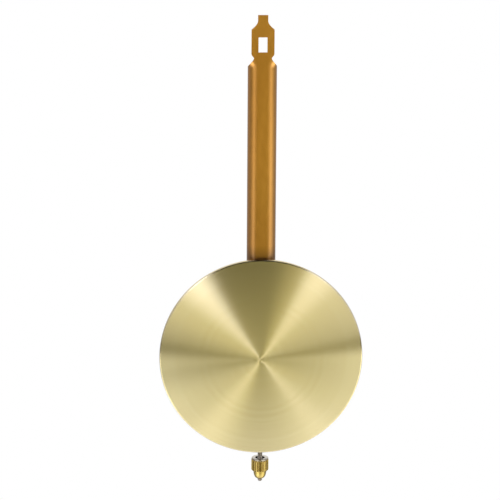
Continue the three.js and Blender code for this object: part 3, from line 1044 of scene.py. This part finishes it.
@dataclass
class Bob:
    """The lens bob: spun shell, back plate, blanks, guides, foot, spring and rivets."""

    shop: Shop
    shell: Place = field(default_factory=lambda: Place.of("bob_shell"))
    wall: float = 0.6 * MM
    rise: float = 3.6 * MM
    edge: float = 0.8 * MM
    lip: float = 2.4 * MM
    shell_rings: int = 40
    shell_segments: int = 256
    plate: Place = field(default_factory=lambda: Place.of("back_plate"))
    plate_sheet: float = 0.8 * MM
    plate_softness: float = 0.35 * MM
    plate_segments: int = 160
    flange: float = 4.1 * MM
    step_run: float = 2.0 * MM
    strap: Sheet = field(default_factory=lambda: Sheet(0.8 * MM))
    play: float = 0.3 * MM  # round the rod in the straps and round the stud in the fork
    strap_toe: float = 0.5 * MM
    strap_bend: float = 1.7 * MM
    foot_bend: float = 1.2 * MM
    fork_end: float = 0.98  # the share of the slot's round end that is laid
    leaf: Sheet = field(default_factory=lambda: Sheet(0.3 * MM, 0.04 * MM))
    leaf_seat: float = 5.4 * MM
    leaf_tail: float = 4.0 * MM
    leaf_lift: float = 1.0 * MM
    leaf_curl: float = 1.7  # the higher, the later the tail lifts
    leaf_steps: int = 20

    def __post_init__(self) -> None:
        """Work out the centre, the radius and the faces."""
        self.radius = self.shell.size.x / 2
        self.rear = self.shell.high.y
        self.front = self.shell.low.y
        self.centre = Vector((0, 0, self.shell.middle.z))
        self.dome = (self.radius ** 2 + self.rise ** 2) / (2 * self.rise)

    def dome_y(self, radius: float, depth: float = 0.0) -> float:
        """The y of the dome's face at a radius, moved in by a depth."""
        return self.front + self.dome - math.sqrt((self.dome - depth) ** 2 - radius ** 2)

    def build_shell(self) -> None:
        """Turn the shell: a shallow dome, a tight edge and a rim rolled over the plate."""
        outer, inner = self.radius - self.edge, self.radius - self.wall
        rim = self.dome_y(outer) + self.edge
        seat = self.rear - self.wall
        fine = [outer * step / self.shell_rings for step in range(self.shell_rings + 1)]
        inside = [(radius, self.dome_y(radius, self.wall)) for radius in fine]
        inside += arc((outer, rim), self.edge - self.wall, -90, 0, steps=5)[1:]
        inside += [(inner, seat), (inner - self.lip, seat)]
        lip = arc((inner - self.lip, self.rear - self.wall / 2), self.wall / 2, 270, 90)[1:]
        outside = arc((inner, seat), self.wall, 90, 0)
        outside += arc((outer, rim), self.edge, 0, -90, steps=8)
        outside += [(radius, self.dome_y(radius)) for radius in reversed(fine[:-1])]
        profile, brass = inside + lip + outside, SpunBrass(radius=self.radius).material()
        piece = self.shop.turned("spun_shell", profile, self.shell_segments, brass, Axis.FRONT, self.centre)
        self.lay_polar(piece)
        self.shop.deliver(piece, "bob", "spun_brass", "bob_shell")

    def lay_polar(self, piece: Piece) -> None:
        """Give the shell a map whose first axis runs out from the centre and whose second runs round it.

        Args:
            piece: The shell.
        """
        mesh = piece.data
        layer = mesh.uv_layers.new(name=UV_NAME)
        corners = np.empty(len(mesh.loops), dtype=np.int32)
        mesh.loops.foreach_get("vertex_index", corners)
        points = np.empty(len(mesh.vertices) * 3)
        mesh.vertices.foreach_get("co", points)
        points = points.reshape(-1, 3) - np.array(self.centre)
        reach = np.hypot(points[:, 0], points[:, 2])[corners] / self.radius
        turn = (np.arctan2(points[:, 2], points[:, 0]) / TAU)[corners]
        starts, counts = np.empty((2, len(mesh.polygons)), dtype=np.int32)
        mesh.polygons.foreach_get("loop_start", starts)
        mesh.polygons.foreach_get("loop_total", counts)
        first = np.repeat(turn[starts], counts)
        turn = np.where(turn - first > 0.5, turn - 1, np.where(first - turn > 0.5, turn + 1, turn))
        layer.data.foreach_set("uv", np.column_stack([reach, turn]).astype(np.float32).ravel())

    def build_plate(self) -> None:
        """Turn the back plate, stepped so that its middle is flush with the rolled rim."""
        sheet, soft = self.plate_sheet, self.plate_softness
        radius = self.plate.size.x / 2
        high, low = self.plate.high.y, self.plate.low.y + sheet
        step = radius - self.flange
        half = sheet / 2
        profile = rounded(
            [(0, high), (step - self.step_run, high), (step, low), (radius, low), (radius, low - sheet),
             (step - half, low - sheet), (step - self.step_run - half, high - sheet), (0, high - sheet)],
            [0, 2 * soft, 2 * soft, soft / 3, soft / 3, 2 * soft, 2 * soft, 0],
        )
        steel, segments = ZINC_SHEET.material(), self.plate_segments
        piece = self.shop.turned("closing_plate", profile, segments, steel, Axis.FRONT, self.centre)
        self.shop.deliver(piece, "bob", "plated_steel", "back_plate")

    def build_guides(self) -> None:
        """Bend the two straps that hold the rod to the plate."""
        steel = ZINC_SHEET.material()
        middle = self.strap.thickness / 2
        wall = Place.of("rod").size.x / 2 + self.play + middle
        radii = [0, self.strap_toe, self.strap_bend, self.strap_bend, self.strap_toe, 0]
        for node in ("guide_upper", "guide_lower"):
            place = Place.of(node)
            half, level = place.size.x / 2, place.middle.z
            low, high = place.low.y + middle, place.high.y - middle
            corners = [(-half, low), (-wall, low), (-wall, high), (wall, high), (wall, low), (half, low)]
            path = rounded(corners, radii, steps=6)
            name, reach = node + "_strap", place.size.z / 2
            piece = self.strap.strip(name, path, reach, lambda point, out: (*point, level + out))
            self.strap.finish(piece, steel)
            self.shop.deliver(piece, "bob", "plated_steel", node)

    def build_foot(self) -> None:
        """Bend the forked foot that stands on the nut."""
        place, stud = Place.of("adjusting_foot"), Place.of("threaded_stud")
        middle = self.strap.thickness / 2
        slot = stud.size.y / 2 + self.play
        back, sole = place.low.y + middle, place.low.z + middle
        corners = [(back, place.high.z), (back, sole), (place.high.y, sole)]
        bend = rounded(corners, [0, self.foot_bend, 0], steps=8)
        marks = np.cumsum([0, *(math.dist(*pair) for pair in zip(bend, bend[1:]))])
        total = marks[-1]
        shut = total - (place.size.y - middle - (stud.middle.y - back) - slot)
        begun = shut - slot

        def at(along: float, out: float) -> Point3:
            """A place on the foot, from the length along its bend."""
            return out, *(np.interp(along, marks, values) for values in zip(*bend))

        def gap(along: float) -> float:
            """Half the slot's width at a length along the bend."""
            return math.sqrt(slot ** 2 - min(self.fork_end * slot, max(0.0, along - begun)) ** 2)

        def is_open(first: float, second: float) -> bool:
            """Whether two rows lie within the slot."""
            return second <= shut + SAME_POINT

        round_end = [begun + slot * math.sin(math.radians(angle)) for angle in range(9, 90, 9)]
        rows = [*np.linspace(0, begun, num=26), *round_end, *np.linspace(shut, total, num=10)]
        half = place.size.x / 2
        piece = self.strap.slotted("forked_foot", rows, lambda row: half, gap, is_open, at, columns=8)
        self.strap.finish(piece, ZINC_SHEET.material())
        self.shop.deliver(piece, "bob", "plated_steel", "adjusting_foot")

    def build_spring(self) -> None:
        """Bend the leaf that presses on the inside of the web."""
        place = Place.of("friction_spring")
        half = self.leaf.thickness / 2
        high, low = place.high.y - half, place.low.y + half
        knee, touch = place.high.z - self.leaf_seat, place.low.z + self.leaf_tail
        shares = [step / self.leaf_steps for step in range(1, self.leaf_steps + 1)]
        bend = [(high + (low - high) * smooth(share), knee + (touch - knee) * share) for share in shares]
        turn = [
            (low + self.leaf_lift * share ** self.leaf_curl, touch - self.leaf_tail * share)
            for share in (0.25, 0.5, 0.75, 1)
        ]
        path = [(high, place.high.z), (high, knee), *bend, *turn]
        piece = self.leaf.strip("leaf_spring", path, place.size.x / 2, lambda point, out: (out, *point))
        self.leaf.finish(piece, SPRING_STEEL.material())
        self.shop.deliver(piece, "bob", "spring_steel", "friction_spring")

    def build_rivets(self) -> None:
        """Set the rivets of the straps, the foot, the blanks and the spring."""
        steel = RIVET_STEEL.material()
        sets = {
            "strap_rivets": [f"guide_rivet_{number}" for number in (1, 2, 3, 4)],
            "foot_rivets": ["foot_rivet_1", "foot_rivet_2"],
            "blank_rivets": ["weight_rivet_1", "weight_rivet_2"],
            "leaf_rivet": ["spring_rivet"],
        }
        for name, nodes in sets.items():
            places = [Place.of(node) for node in nodes]
            rivet = Rivet(places[0].size.y)
            outline = rivet.profile()
            pattern = self.shop.turned(name + "_pattern", outline, rivet.segments, steel, Axis.FRONT)
            seats = [Vector((p.middle.x, p.high.y - rivet.head_height, p.middle.z)) for p in places]
            piece = self.shop.set_on(name, seats, pattern, steel)
            self.shop.deliver(piece, "bob", "rivet_steel", *nodes)

    def dress_blanks(self) -> None:
        """Give the hidden steel blanks, which keep their own meshes, a plain dark finish."""
        iron = BLANK_IRON.material()
        for node in ("weight_disc_rear", "weight_disc_front"):
            for slot in frame["nodes"][node].material_slots:
                slot.material = iron
            log.info("%s: kept from the frame", node)

    def build(self) -> None:
        """Make the whole bob."""
        self.build_shell()
        self.build_plate()
        self.build_guides()
        self.build_foot()
        self.build_spring()
        self.build_rivets()
        self.dress_blanks()


# The regulator.


@dataclass(frozen=True)
class Level:
    """A level of the stud: its height, half its width, half its thickness and how square it is."""

    z: float
    half: float = NO_WIDTH
    thick: float = NO_WIDTH
    power: float = 2.0  # 2 is round, and more is squarer

    def ring(self, around: int) -> list[Point3]:
        """Lay points round the level.

        Args:
            around: How many points there are.

        Returns:
            The points.
        """
        made = []
        for angle in (TAU * step / around for step in range(around)):
            across, along = math.cos(angle), math.sin(angle)
            size = (abs(across) ** self.power + abs(along) ** self.power) ** (-1 / self.power)
            made.append((self.half * across * size, self.thick * along * size, self.z))
        return made


@dataclass
class Regulator:
    """The threaded stud, its rivet, the rating nut and its washer."""

    shop: Shop
    stud: Place = field(default_factory=lambda: Place.of("threaded_stud"))
    nut: Place = field(default_factory=lambda: Place.of("rating_nut"))
    washer: Place = field(default_factory=lambda: Place.of("nut_washer"))
    rod_end: float = field(default_factory=lambda: Place.of("rod").low.z)
    pitch: float = 0.45 * MM
    pitch_levels: int = 8
    thread_depth: float = 0.22 * MM
    thread_crest: float = 0.06  # half the crest's share of a pitch
    thread_flank: float = 0.38
    stud_points: int = 48
    tip_chamfer: float = 0.4 * MM
    round_end: float = 3.3 * MM  # how far below the rod the round shank ends
    flattening: float = 3.2 * MM
    paddle_thickness: float = 1.0 * MM
    paddle_power: float = 8.0
    paddle_steps: int = 12
    sunk_end_radius: float = 1.7 * MM
    teeth: int = 20
    tooth_faces: int = 16
    knurl_depth: float = 0.34 * MM
    knurl_crest: float = 0.2  # half the crest's share of a tooth
    knurl_flank: float = 0.12
    knurl_start: float = 0.15  # how far up the lower bevel it starts
    knurl_fade: float = 0.35 * MM
    knurl_height: float = 6.1 * MM
    knurl_rings: int = 12
    bevel: float = 0.6 * MM
    nose_height: float = 4.3 * MM
    nose_radius: float = 3.4 * MM
    nose_end_radius: float = 1.7 * MM
    nose_steps: int = 16
    nose_ledge: float = 0.1 * MM
    bore_play: float = 0.1 * MM
    counterbore_radius: float = 2.15 * MM
    counterbore_depth: float = 2.0 * MM
    hub_radius: float = 2.4 * MM
    hub_bevel: float = 0.08 * MM
    hub_shade: Point2 = (-0.02 * MM, 0.04 * MM)  # from the hub's radius
    hub_shade_start: float = 2.0 * MM  # below the shoulder
    washer_hole_radius: float = 2.5 * MM
    washer_softness: float = 0.12 * MM
    washer_wear: float = 0.5 * MM
    washer_segments: int = 96

    def __post_init__(self) -> None:
        """Find the axis and the stud's radius."""
        self.radius = self.stud.size.y / 2
        self.axis = Vector((0, self.stud.middle.y, 0))

    def stud_levels(self) -> list[Level]:
        """Lay the stud's levels: chamfered tip, round shank, flattening and the paddle's round top.

        Returns:
            The levels, from the tip up.
        """
        tip, wide, flat = self.stud.low.z, self.stud.size.x / 2, self.paddle_thickness / 2
        base, step = tip + self.tip_chamfer, self.pitch / self.pitch_levels
        count = int((self.rod_end - self.round_end - tip - self.tip_chamfer) / step)
        point = self.radius - self.tip_chamfer
        levels = [Level(tip), Level(tip, point, point)]
        levels += [Level(base + step * index, self.radius, self.radius) for index in range(count + 1)]
        start, crown = base + step * count, self.stud.high.z - wide
        shares = [index / self.paddle_steps for index in range(1, self.paddle_steps + 1)]
        for share in shares:
            eased = smooth(share)
            half, thick = (self.radius + (end - self.radius) * eased for end in (wide, flat))
            power = Level.power + (self.paddle_power - Level.power) * eased
            levels.append(Level(start + self.flattening * share, half, thick, power))
        levels.append(Level(crown, wide, flat, self.paddle_power))
        for angle in (math.radians(90 * share) for share in shares):
            half = max(wide * math.cos(angle), NO_WIDTH)
            levels.append(Level(crown + wide * math.sin(angle), half, min(half, flat), self.paddle_power))
        return levels

    def build_stud(self) -> None:
        """Make the stud: a round shank with its thread, flattened at the top into a paddle."""
        levels, around = self.stud_levels(), self.stud_points
        points = [point for level in levels for point in level.ring(around)]
        blank = from_points("screw_stud", points, lattice(len(levels), around, True))
        root = self.radius - self.thread_depth
        # Painted shade in the thread's grooves, darker towards their roots.
        shade_and_wear = ShadeAndWear(self.axis.xy, root, self.radius, THREAD_GROOVE_SHADE, share=0.5)
        piece = self.shop.grooving.run(blank, {
            "Starts": 1.0, "Turns per metre": 1 / self.pitch, "Depth": self.thread_depth,
            "Crest": self.thread_crest, "Flank": self.thread_flank, "Low": self.stud.low.z - self.pitch,
            "High": self.rod_end - self.round_end - self.pitch, "Fade": 2 * self.pitch,
            "Material": STUD_STEEL.material(shade_and_wear),
        })
        weld(piece)
        piece.data.transform(Matrix.Translation(self.axis))
        tidy(piece, corner=45)
        self.shop.deliver(piece, "root", "stud_steel", "threaded_stud")

    def build_rivet(self) -> None:
        """Set the countersunk rivet that holds the stud to the web."""
        place = Place.of("stud_rivet")
        rivet = Rivet(
            place.size.y, shank=1.0 * MM, head=1.9 * MM, head_height=0.85 * MM,
            tail=self.sunk_end_radius, tail_height=0.45 * MM)
        end = -rivet.grip - rivet.tail_height
        profile = rivet.cap() + [(rivet.shank, -rivet.grip), (rivet.tail, end), (0, end)]
        seat = Vector((0, place.high.y - rivet.head_height, place.middle.z))
        steel = RIVET_STEEL.material()
        piece = self.shop.turned("paddle_rivet", profile, rivet.segments, steel, Axis.FRONT, seat)
        self.shop.deliver(piece, "root", "rivet_steel", "stud_rivet")

    def build_nut(self) -> None:
        """Turn the nut and cut its straight knurl."""
        outer, bore = self.nut.size.y / 2, self.radius + self.bore_play
        end, top = self.nut.low.z, self.nut.high.z
        low = end + self.nose_height
        shoulder = low + self.knurl_height
        bevel, half, nick = self.bevel, self.bevel / 2, self.hub_bevel
        face_low, face_high = low + bevel, shoulder - half
        sunk, hub, floor = self.counterbore_radius, self.hub_radius, top - self.counterbore_depth
        angles = [math.radians(90 * step / self.nose_steps) for step in range(1, self.nose_steps + 1)]
        narrow, run = self.nose_end_radius, self.nose_radius - self.nose_end_radius
        nose = [(narrow + run * math.cos(a), low - self.nose_height * math.sin(a)) for a in angles]
        shares = [1 - step / self.knurl_rings for step in range(1, self.knurl_rings)]
        profile = [
            (bore, floor), (sunk, floor), (sunk, top), (hub - nick, top), (hub, top - nick),
            (hub, shoulder), (outer - half, shoulder),
            *arc((outer - half, face_high), half, 90, 0, steps=4)[1:],
            *[(outer, face_low + (face_high - face_low) * share) for share in shares], (outer, face_low),
            *arc((outer - bevel, face_low), bevel, 0, -90, steps=5)[1:],
            (self.nose_radius + self.nose_ledge, low), *nose, (bore, end), (bore, floor),
        ]
        # Painted shade in the knurl's grooves, darker towards their roots.
        shade_and_wear = ShadeAndWear(self.axis.xy, outer - self.knurl_depth, outer, KNURL_GROOVE_SHADE, share=0.8, above=low)
        # Painted shade in the counterbore round the stud.
        reach = (hub + out for out in self.hub_shade)
        shade = ShadeAndWear(self.axis.xy, *reach, HUB_SHADE, above=shoulder - self.hub_shade_start)
        brass = NUT_BRASS.material(shade_and_wear, shade)
        piece = self.shop.turned("knurled_nut", profile, self.tooth_faces * self.teeth, brass)
        self.shop.grooving.run(piece, {
            "Starts": float(self.teeth), "Turns per metre": 0.0, "Depth": self.knurl_depth,
            "Crest": self.knurl_crest, "Flank": self.knurl_flank, "Low": low + self.knurl_start * bevel,
            "High": shoulder, "Fade": self.knurl_fade, "Material": brass,
        })
        piece.data.transform(Matrix.Translation(self.axis))
        tidy(piece, corner=40)
        self.shop.deliver(piece, "nut", "nut_brass", "rating_nut")

    def build_washer(self) -> None:
        """Turn the bright washer, worn through at its edge."""
        outer, inner, soft = self.washer.size.x / 2, self.washer_hole_radius, self.washer_softness
        high, low = self.washer.high.z, self.washer.low.z
        corners = [(inner, low), (inner, high), (outer, high), (outer, low), (inner, low)]
        worn = ShadeAndWear(self.axis.xy, outer, outer - self.washer_wear, WORN_PLATE, share=0.6)
        ring, plate = rounded(corners, [0, soft, 2 * soft, soft, 0]), WASHER_PLATE.material(worn)
        piece = self.shop.turned("bright_washer", ring, self.washer_segments, plate, centre=self.axis)
        self.shop.deliver(piece, "washer", "washer_plate", "nut_washer")

    def build(self) -> None:
        """Make the whole regulator."""
        self.build_stud()
        self.build_rivet()
        self.build_nut()
        self.build_washer()


# The studio.


@dataclass(frozen=True)
class Panel:
    """A lit stretch of a ring of the room, with soft ends, in degrees clockwise from straight up."""

    name: str
    start: float
    stop: float
    glow: float
    fade_in: float
    fade_out: float

    def lit(self, room: Nodes, turn: Socket) -> Socket:
        """Find its glow at a turn round the ring.

        Args:
            room: The room's nodes.
            turn: The turn, in degrees.

        Returns:
            The glow.
        """
        begun = room.ramp(turn, self.start - self.fade_in, self.start, 0, self.glow)
        ended = room.ramp(turn, self.stop, self.stop + self.fade_out, begun, 0)
        begun.node.label = ended.node.label = self.name
        return ended


@dataclass
class Studio:
    """A white sheet, a white room with rings of panels for the bob to mirror, and the camera."""

    bob: Bob
    azimuth: float = -3.1
    elevation: float = 18.6
    roll: float = 0.42
    distance: float = 1.6
    focal_pixels: float = 3090.0
    frame_pixels: float = 500.0
    bob_pixel: Point2 = (260.83, 356.08)
    sensor: float = 36.0
    clip_end: float = 30.0
    sheet_drop: float = 120 * MM  # how far the sheet lies below the bob's centre
    sheet_half: float = 3.0  # half the sheet's width, in metres
    near_panels: tuple[Panel, ...] = (
        Panel("above, right", -10, 20, 0.12, 5, 15),
        Panel("upper right", 27, 50, 0.6, 18, 30),
        Panel("right", 27, 110, 0.4, 18, 30),
        Panel("table", 145, 215, 0.9, 35, 35),
        Panel("table, right", 145, 155, 0.35, 15, 25),
        Panel("table, left", 205, 215, 0.5, 12, 15),
        Panel("upper left", 300, 310, 1.1, 25, 20),
        Panel("above, left", 330, 370, 0.12, 15, 5),
    )
    far_panels: tuple[Panel, ...] = (
        Panel("upper right", 30, 38, 1.4, 5, 10),
        Panel("right", 30, 76, 1.2, 5, 5),
        Panel("table", 88, 270, 1.4, 4, 5),
        Panel("table, right", 88, 120, 1.2, 4, 45),
        Panel("below", 160, 190, 0.15, 15, 15),
        Panel("table, left", 240, 256, 1.0, 30, 14),
        Panel("low left", 240, 248, 0.6, 16, 10),
        Panel("far left", 267, 271, 0.9, 8, 4),
        Panel("left", 284, 320, 0.85, 11, 10),
        Panel("upper left", 320, 325, 3.4, 14, 7),
    )
    centre_glow: float = 0.35
    centre_edge: Point2 = (0.08, 0.2)  # where the near ring takes over from the centre
    far_edge: Point2 = (0.35, 0.5)  # where the far ring takes over
    wall_edge: Point2 = (0.72, 0.95)  # where the far ring dims
    wall_share: float = 0.35  # what is left of its glow there
    centre_tint: Colour = (1.12, 1.0, 0.05)
    near_low_tint: Colour = (0.98, 1.0, 0.92)
    near_high_tint: Colour = (1.08, 1.0, 0.5)
    far_low_tint: Colour = (0.98, 1.0, 1.3)
    far_side_tint: Colour = (0.97, 1.0, 0.96)
    far_high_tint: Colour = (0.96, 1.0, 1.25)
    near_tint_heights: Point2 = (-0.3, 0.3)
    far_low_heights: Point2 = (-0.8, -0.3)
    far_high_heights: Point2 = (0.0, 0.4)
    white: Colour = (1.0, 1.0, 1.0)
    rear_heights: Point2 = (-0.15, 0.2)
    rear_edge: Point2 = (-0.05, 0.05)
    rear_low_glow: float = 0.42
    rear_high_glow: float = 0.95

    @property
    def back(self) -> Vector:
        """The direction from the bob to the camera."""
        around, climb = math.radians(self.azimuth), math.radians(self.elevation)
        flat = Vector((math.sin(around), -math.cos(around), 0)) * math.cos(climb)
        return flat + Vector((0, 0, math.sin(climb)))

    @property
    def mirror(self) -> Vector:
        """The direction that a flat upright face sends to the camera."""
        return Vector((-self.back.x, self.back.y, -self.back.z))

    def camera(self) -> None:
        """Stand the camera so that the bob's rear centre falls on its pixel."""
        back, around = self.back, math.radians(self.azimuth)
        right = Vector((math.cos(around), math.sin(around), 0))
        over = back.cross(right)
        turn = Matrix.Rotation(math.radians(self.roll), 3, back)
        right, over = turn @ right, turn @ over
        target = self.bob.centre + Vector((0, self.bob.rear, 0))
        aside, below = ((pixel - self.frame_pixels / 2) / self.focal_pixels for pixel in self.bob_pixel)
        ahead = (-back - right * aside + over * below).normalized()
        side = ahead.cross(over).normalized()
        above = side.cross(ahead)
        data = bpy.data.cameras.new("camera")
        data.sensor_width = self.sensor
        data.sensor_fit = "HORIZONTAL"
        data.lens = self.focal_pixels / self.frame_pixels * self.sensor
        data.clip_end = self.clip_end
        camera = bpy.data.objects.new("camera", data)
        place = Matrix((side, above, -ahead)).transposed().to_4x4()
        place.translation = target + back * self.distance
        camera.matrix_world = place
        bpy.context.scene.collection.objects.link(camera)
        bpy.context.scene.camera = camera

    def room(self) -> None:
        """Build a room that is white to the camera, with panels before the bob and soft light behind it."""
        world = bpy.data.worlds.new("room")
        world.use_nodes = True
        bpy.context.scene.world = world
        room = Nodes(world.node_tree)
        x, y, z = room.split(room.node("ShaderNodeTexCoord").outputs["Generated"])
        across = room.math("SUBTRACT", x, self.mirror.x)
        above = room.math("SUBTRACT", z, self.mirror.z)
        out = room.reach(across, above)
        is_near = room.ramp(out, *self.centre_edge, 0, 1)
        is_far = room.ramp(out, *self.far_edge, 0, 1)
        is_behind = room.ramp(y, *self.rear_edge, 0, 1)
        front = self.glow(room, across, above, is_near, is_far)
        rear = room.ramp(z, *self.rear_heights, self.rear_low_glow, self.rear_high_glow)
        tint = room.blend(is_behind, self.tint(room, above, is_near, is_far), self.white)
        seen = room.node("ShaderNodeLightPath").outputs["Is Camera Ray"]
        light = world.node_tree.nodes["Background"].inputs
        room.feed(light["Strength"], room.ramp(seen, 0, 1, room.ramp(is_behind, 0, 1, front, rear), 1))
        room.feed(light["Color"], room.blend(seen, tint, self.white))

    def glow(self, room: Nodes, across: Socket, above: Socket, is_near: Socket, is_far: Socket) -> Socket:
        """Light the rings of panels round the mirror direction.

        Args:
            room: The room's nodes.
            across: How far to the right of the mirror direction it is.
            above: How far above the mirror direction it is.
            is_near: 0 at the centre and 1 from the near ring on.
            is_far: 0 up to the near ring and 1 from the far ring on.

        Returns:
            The glow of the room ahead.
        """
        left, below = (room.math("MULTIPLY", part, -1) for part in (across, above))
        turn = room.math("ADD", room.math("DEGREES", room.math("ARCTAN2", left, below)), 180)
        dimmed = room.ramp(room.reach(across, above), *self.wall_edge, 1, self.wall_share)
        near = room.ramp(is_near, 0, 1, self.centre_glow, self.ring(room, turn, self.near_panels))
        far = room.math("MULTIPLY", self.ring(room, turn, self.far_panels), dimmed)
        return room.ramp(is_far, 0, 1, near, far)

    def tint(self, room: Nodes, above: Socket, is_near: Socket, is_far: Socket) -> Socket:
        """Tint the rings of panels, each by its height.

        Args:
            room: The room's nodes.
            above: How far above the mirror direction it is.
            is_near: 0 at the centre and 1 from the near ring on.
            is_far: 0 up to the near ring and 1 from the far ring on.

        Returns:
            The colour of the room ahead.
        """
        near_high, far_low, far_high = (
            room.ramp(above, *heights, 0, 1)
            for heights in (self.near_tint_heights, self.far_low_heights, self.far_high_heights)
        )
        near = room.blend(near_high, self.near_low_tint, self.near_high_tint)
        far = room.blend(far_low, self.far_low_tint, self.far_side_tint)
        far = room.blend(far_high, far, self.far_high_tint)
        return room.blend(is_far, room.blend(is_near, self.centre_tint, near), far)

    @staticmethod
    def ring(room: Nodes, turn: Socket, panels: Sequence[Panel]) -> Socket:
        """Add up what a ring's panels give.

        Args:
            room: The room's nodes.
            turn: The turn round the ring, in degrees.
            panels: The ring's panels.

        Returns:
            The glow of the ring.
        """
        total = panels[0].lit(room, turn)
        for panel in panels[1:]:
            total = room.math("ADD", total, panel.lit(room, turn))
        return total

    def floor(self) -> None:
        """A white sheet below the tip, lit evenly, and clear from below."""
        low, wide = self.bob.centre.z - self.sheet_drop, self.sheet_half
        corners = [(-wide, -wide, low), (wide, -wide, low), (wide, wide, low), (-wide, wide, low)]
        sheet = from_points("floor", corners, [(0, 1, 2, 3)])
        material = bpy.data.materials.new("white_sheet")
        material.use_nodes = True
        tree = Nodes(material.node_tree)
        tree.tree.nodes.clear()
        glow = tree.node("ShaderNodeEmission", {"Strength": 1.0, "Color": self.white})
        below = tree.node("ShaderNodeNewGeometry").outputs["Backfacing"]
        clear = tree.node("ShaderNodeBsdfTransparent").outputs[0]
        either = tree.node("ShaderNodeMixShader", {0: below, 1: glow.outputs[0], 2: clear})
        tree.node("ShaderNodeOutputMaterial", {"Surface": either.outputs[0]})
        sheet.data.materials.append(material)
        sheet.visible_glossy = False
        sheet.visible_diffuse = False

    def build(self) -> None:
        """Set up the whole studio."""
        bpy.context.scene.view_settings.view_transform = "Standard"
        self.camera()
        self.room()
        self.floor()


def main() -> None:
    """Build the pendulum over its frame and set up the studio."""
    logging.basicConfig(level=logging.INFO, format="%(name)s %(message)s")
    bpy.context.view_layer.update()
    shop = Shop()
    bob = Bob(shop)
    Studio(bob).build()
    Rod(shop).build()
    bob.build()
    Regulator(shop).build()


if __name__ == "__main__":
    main()
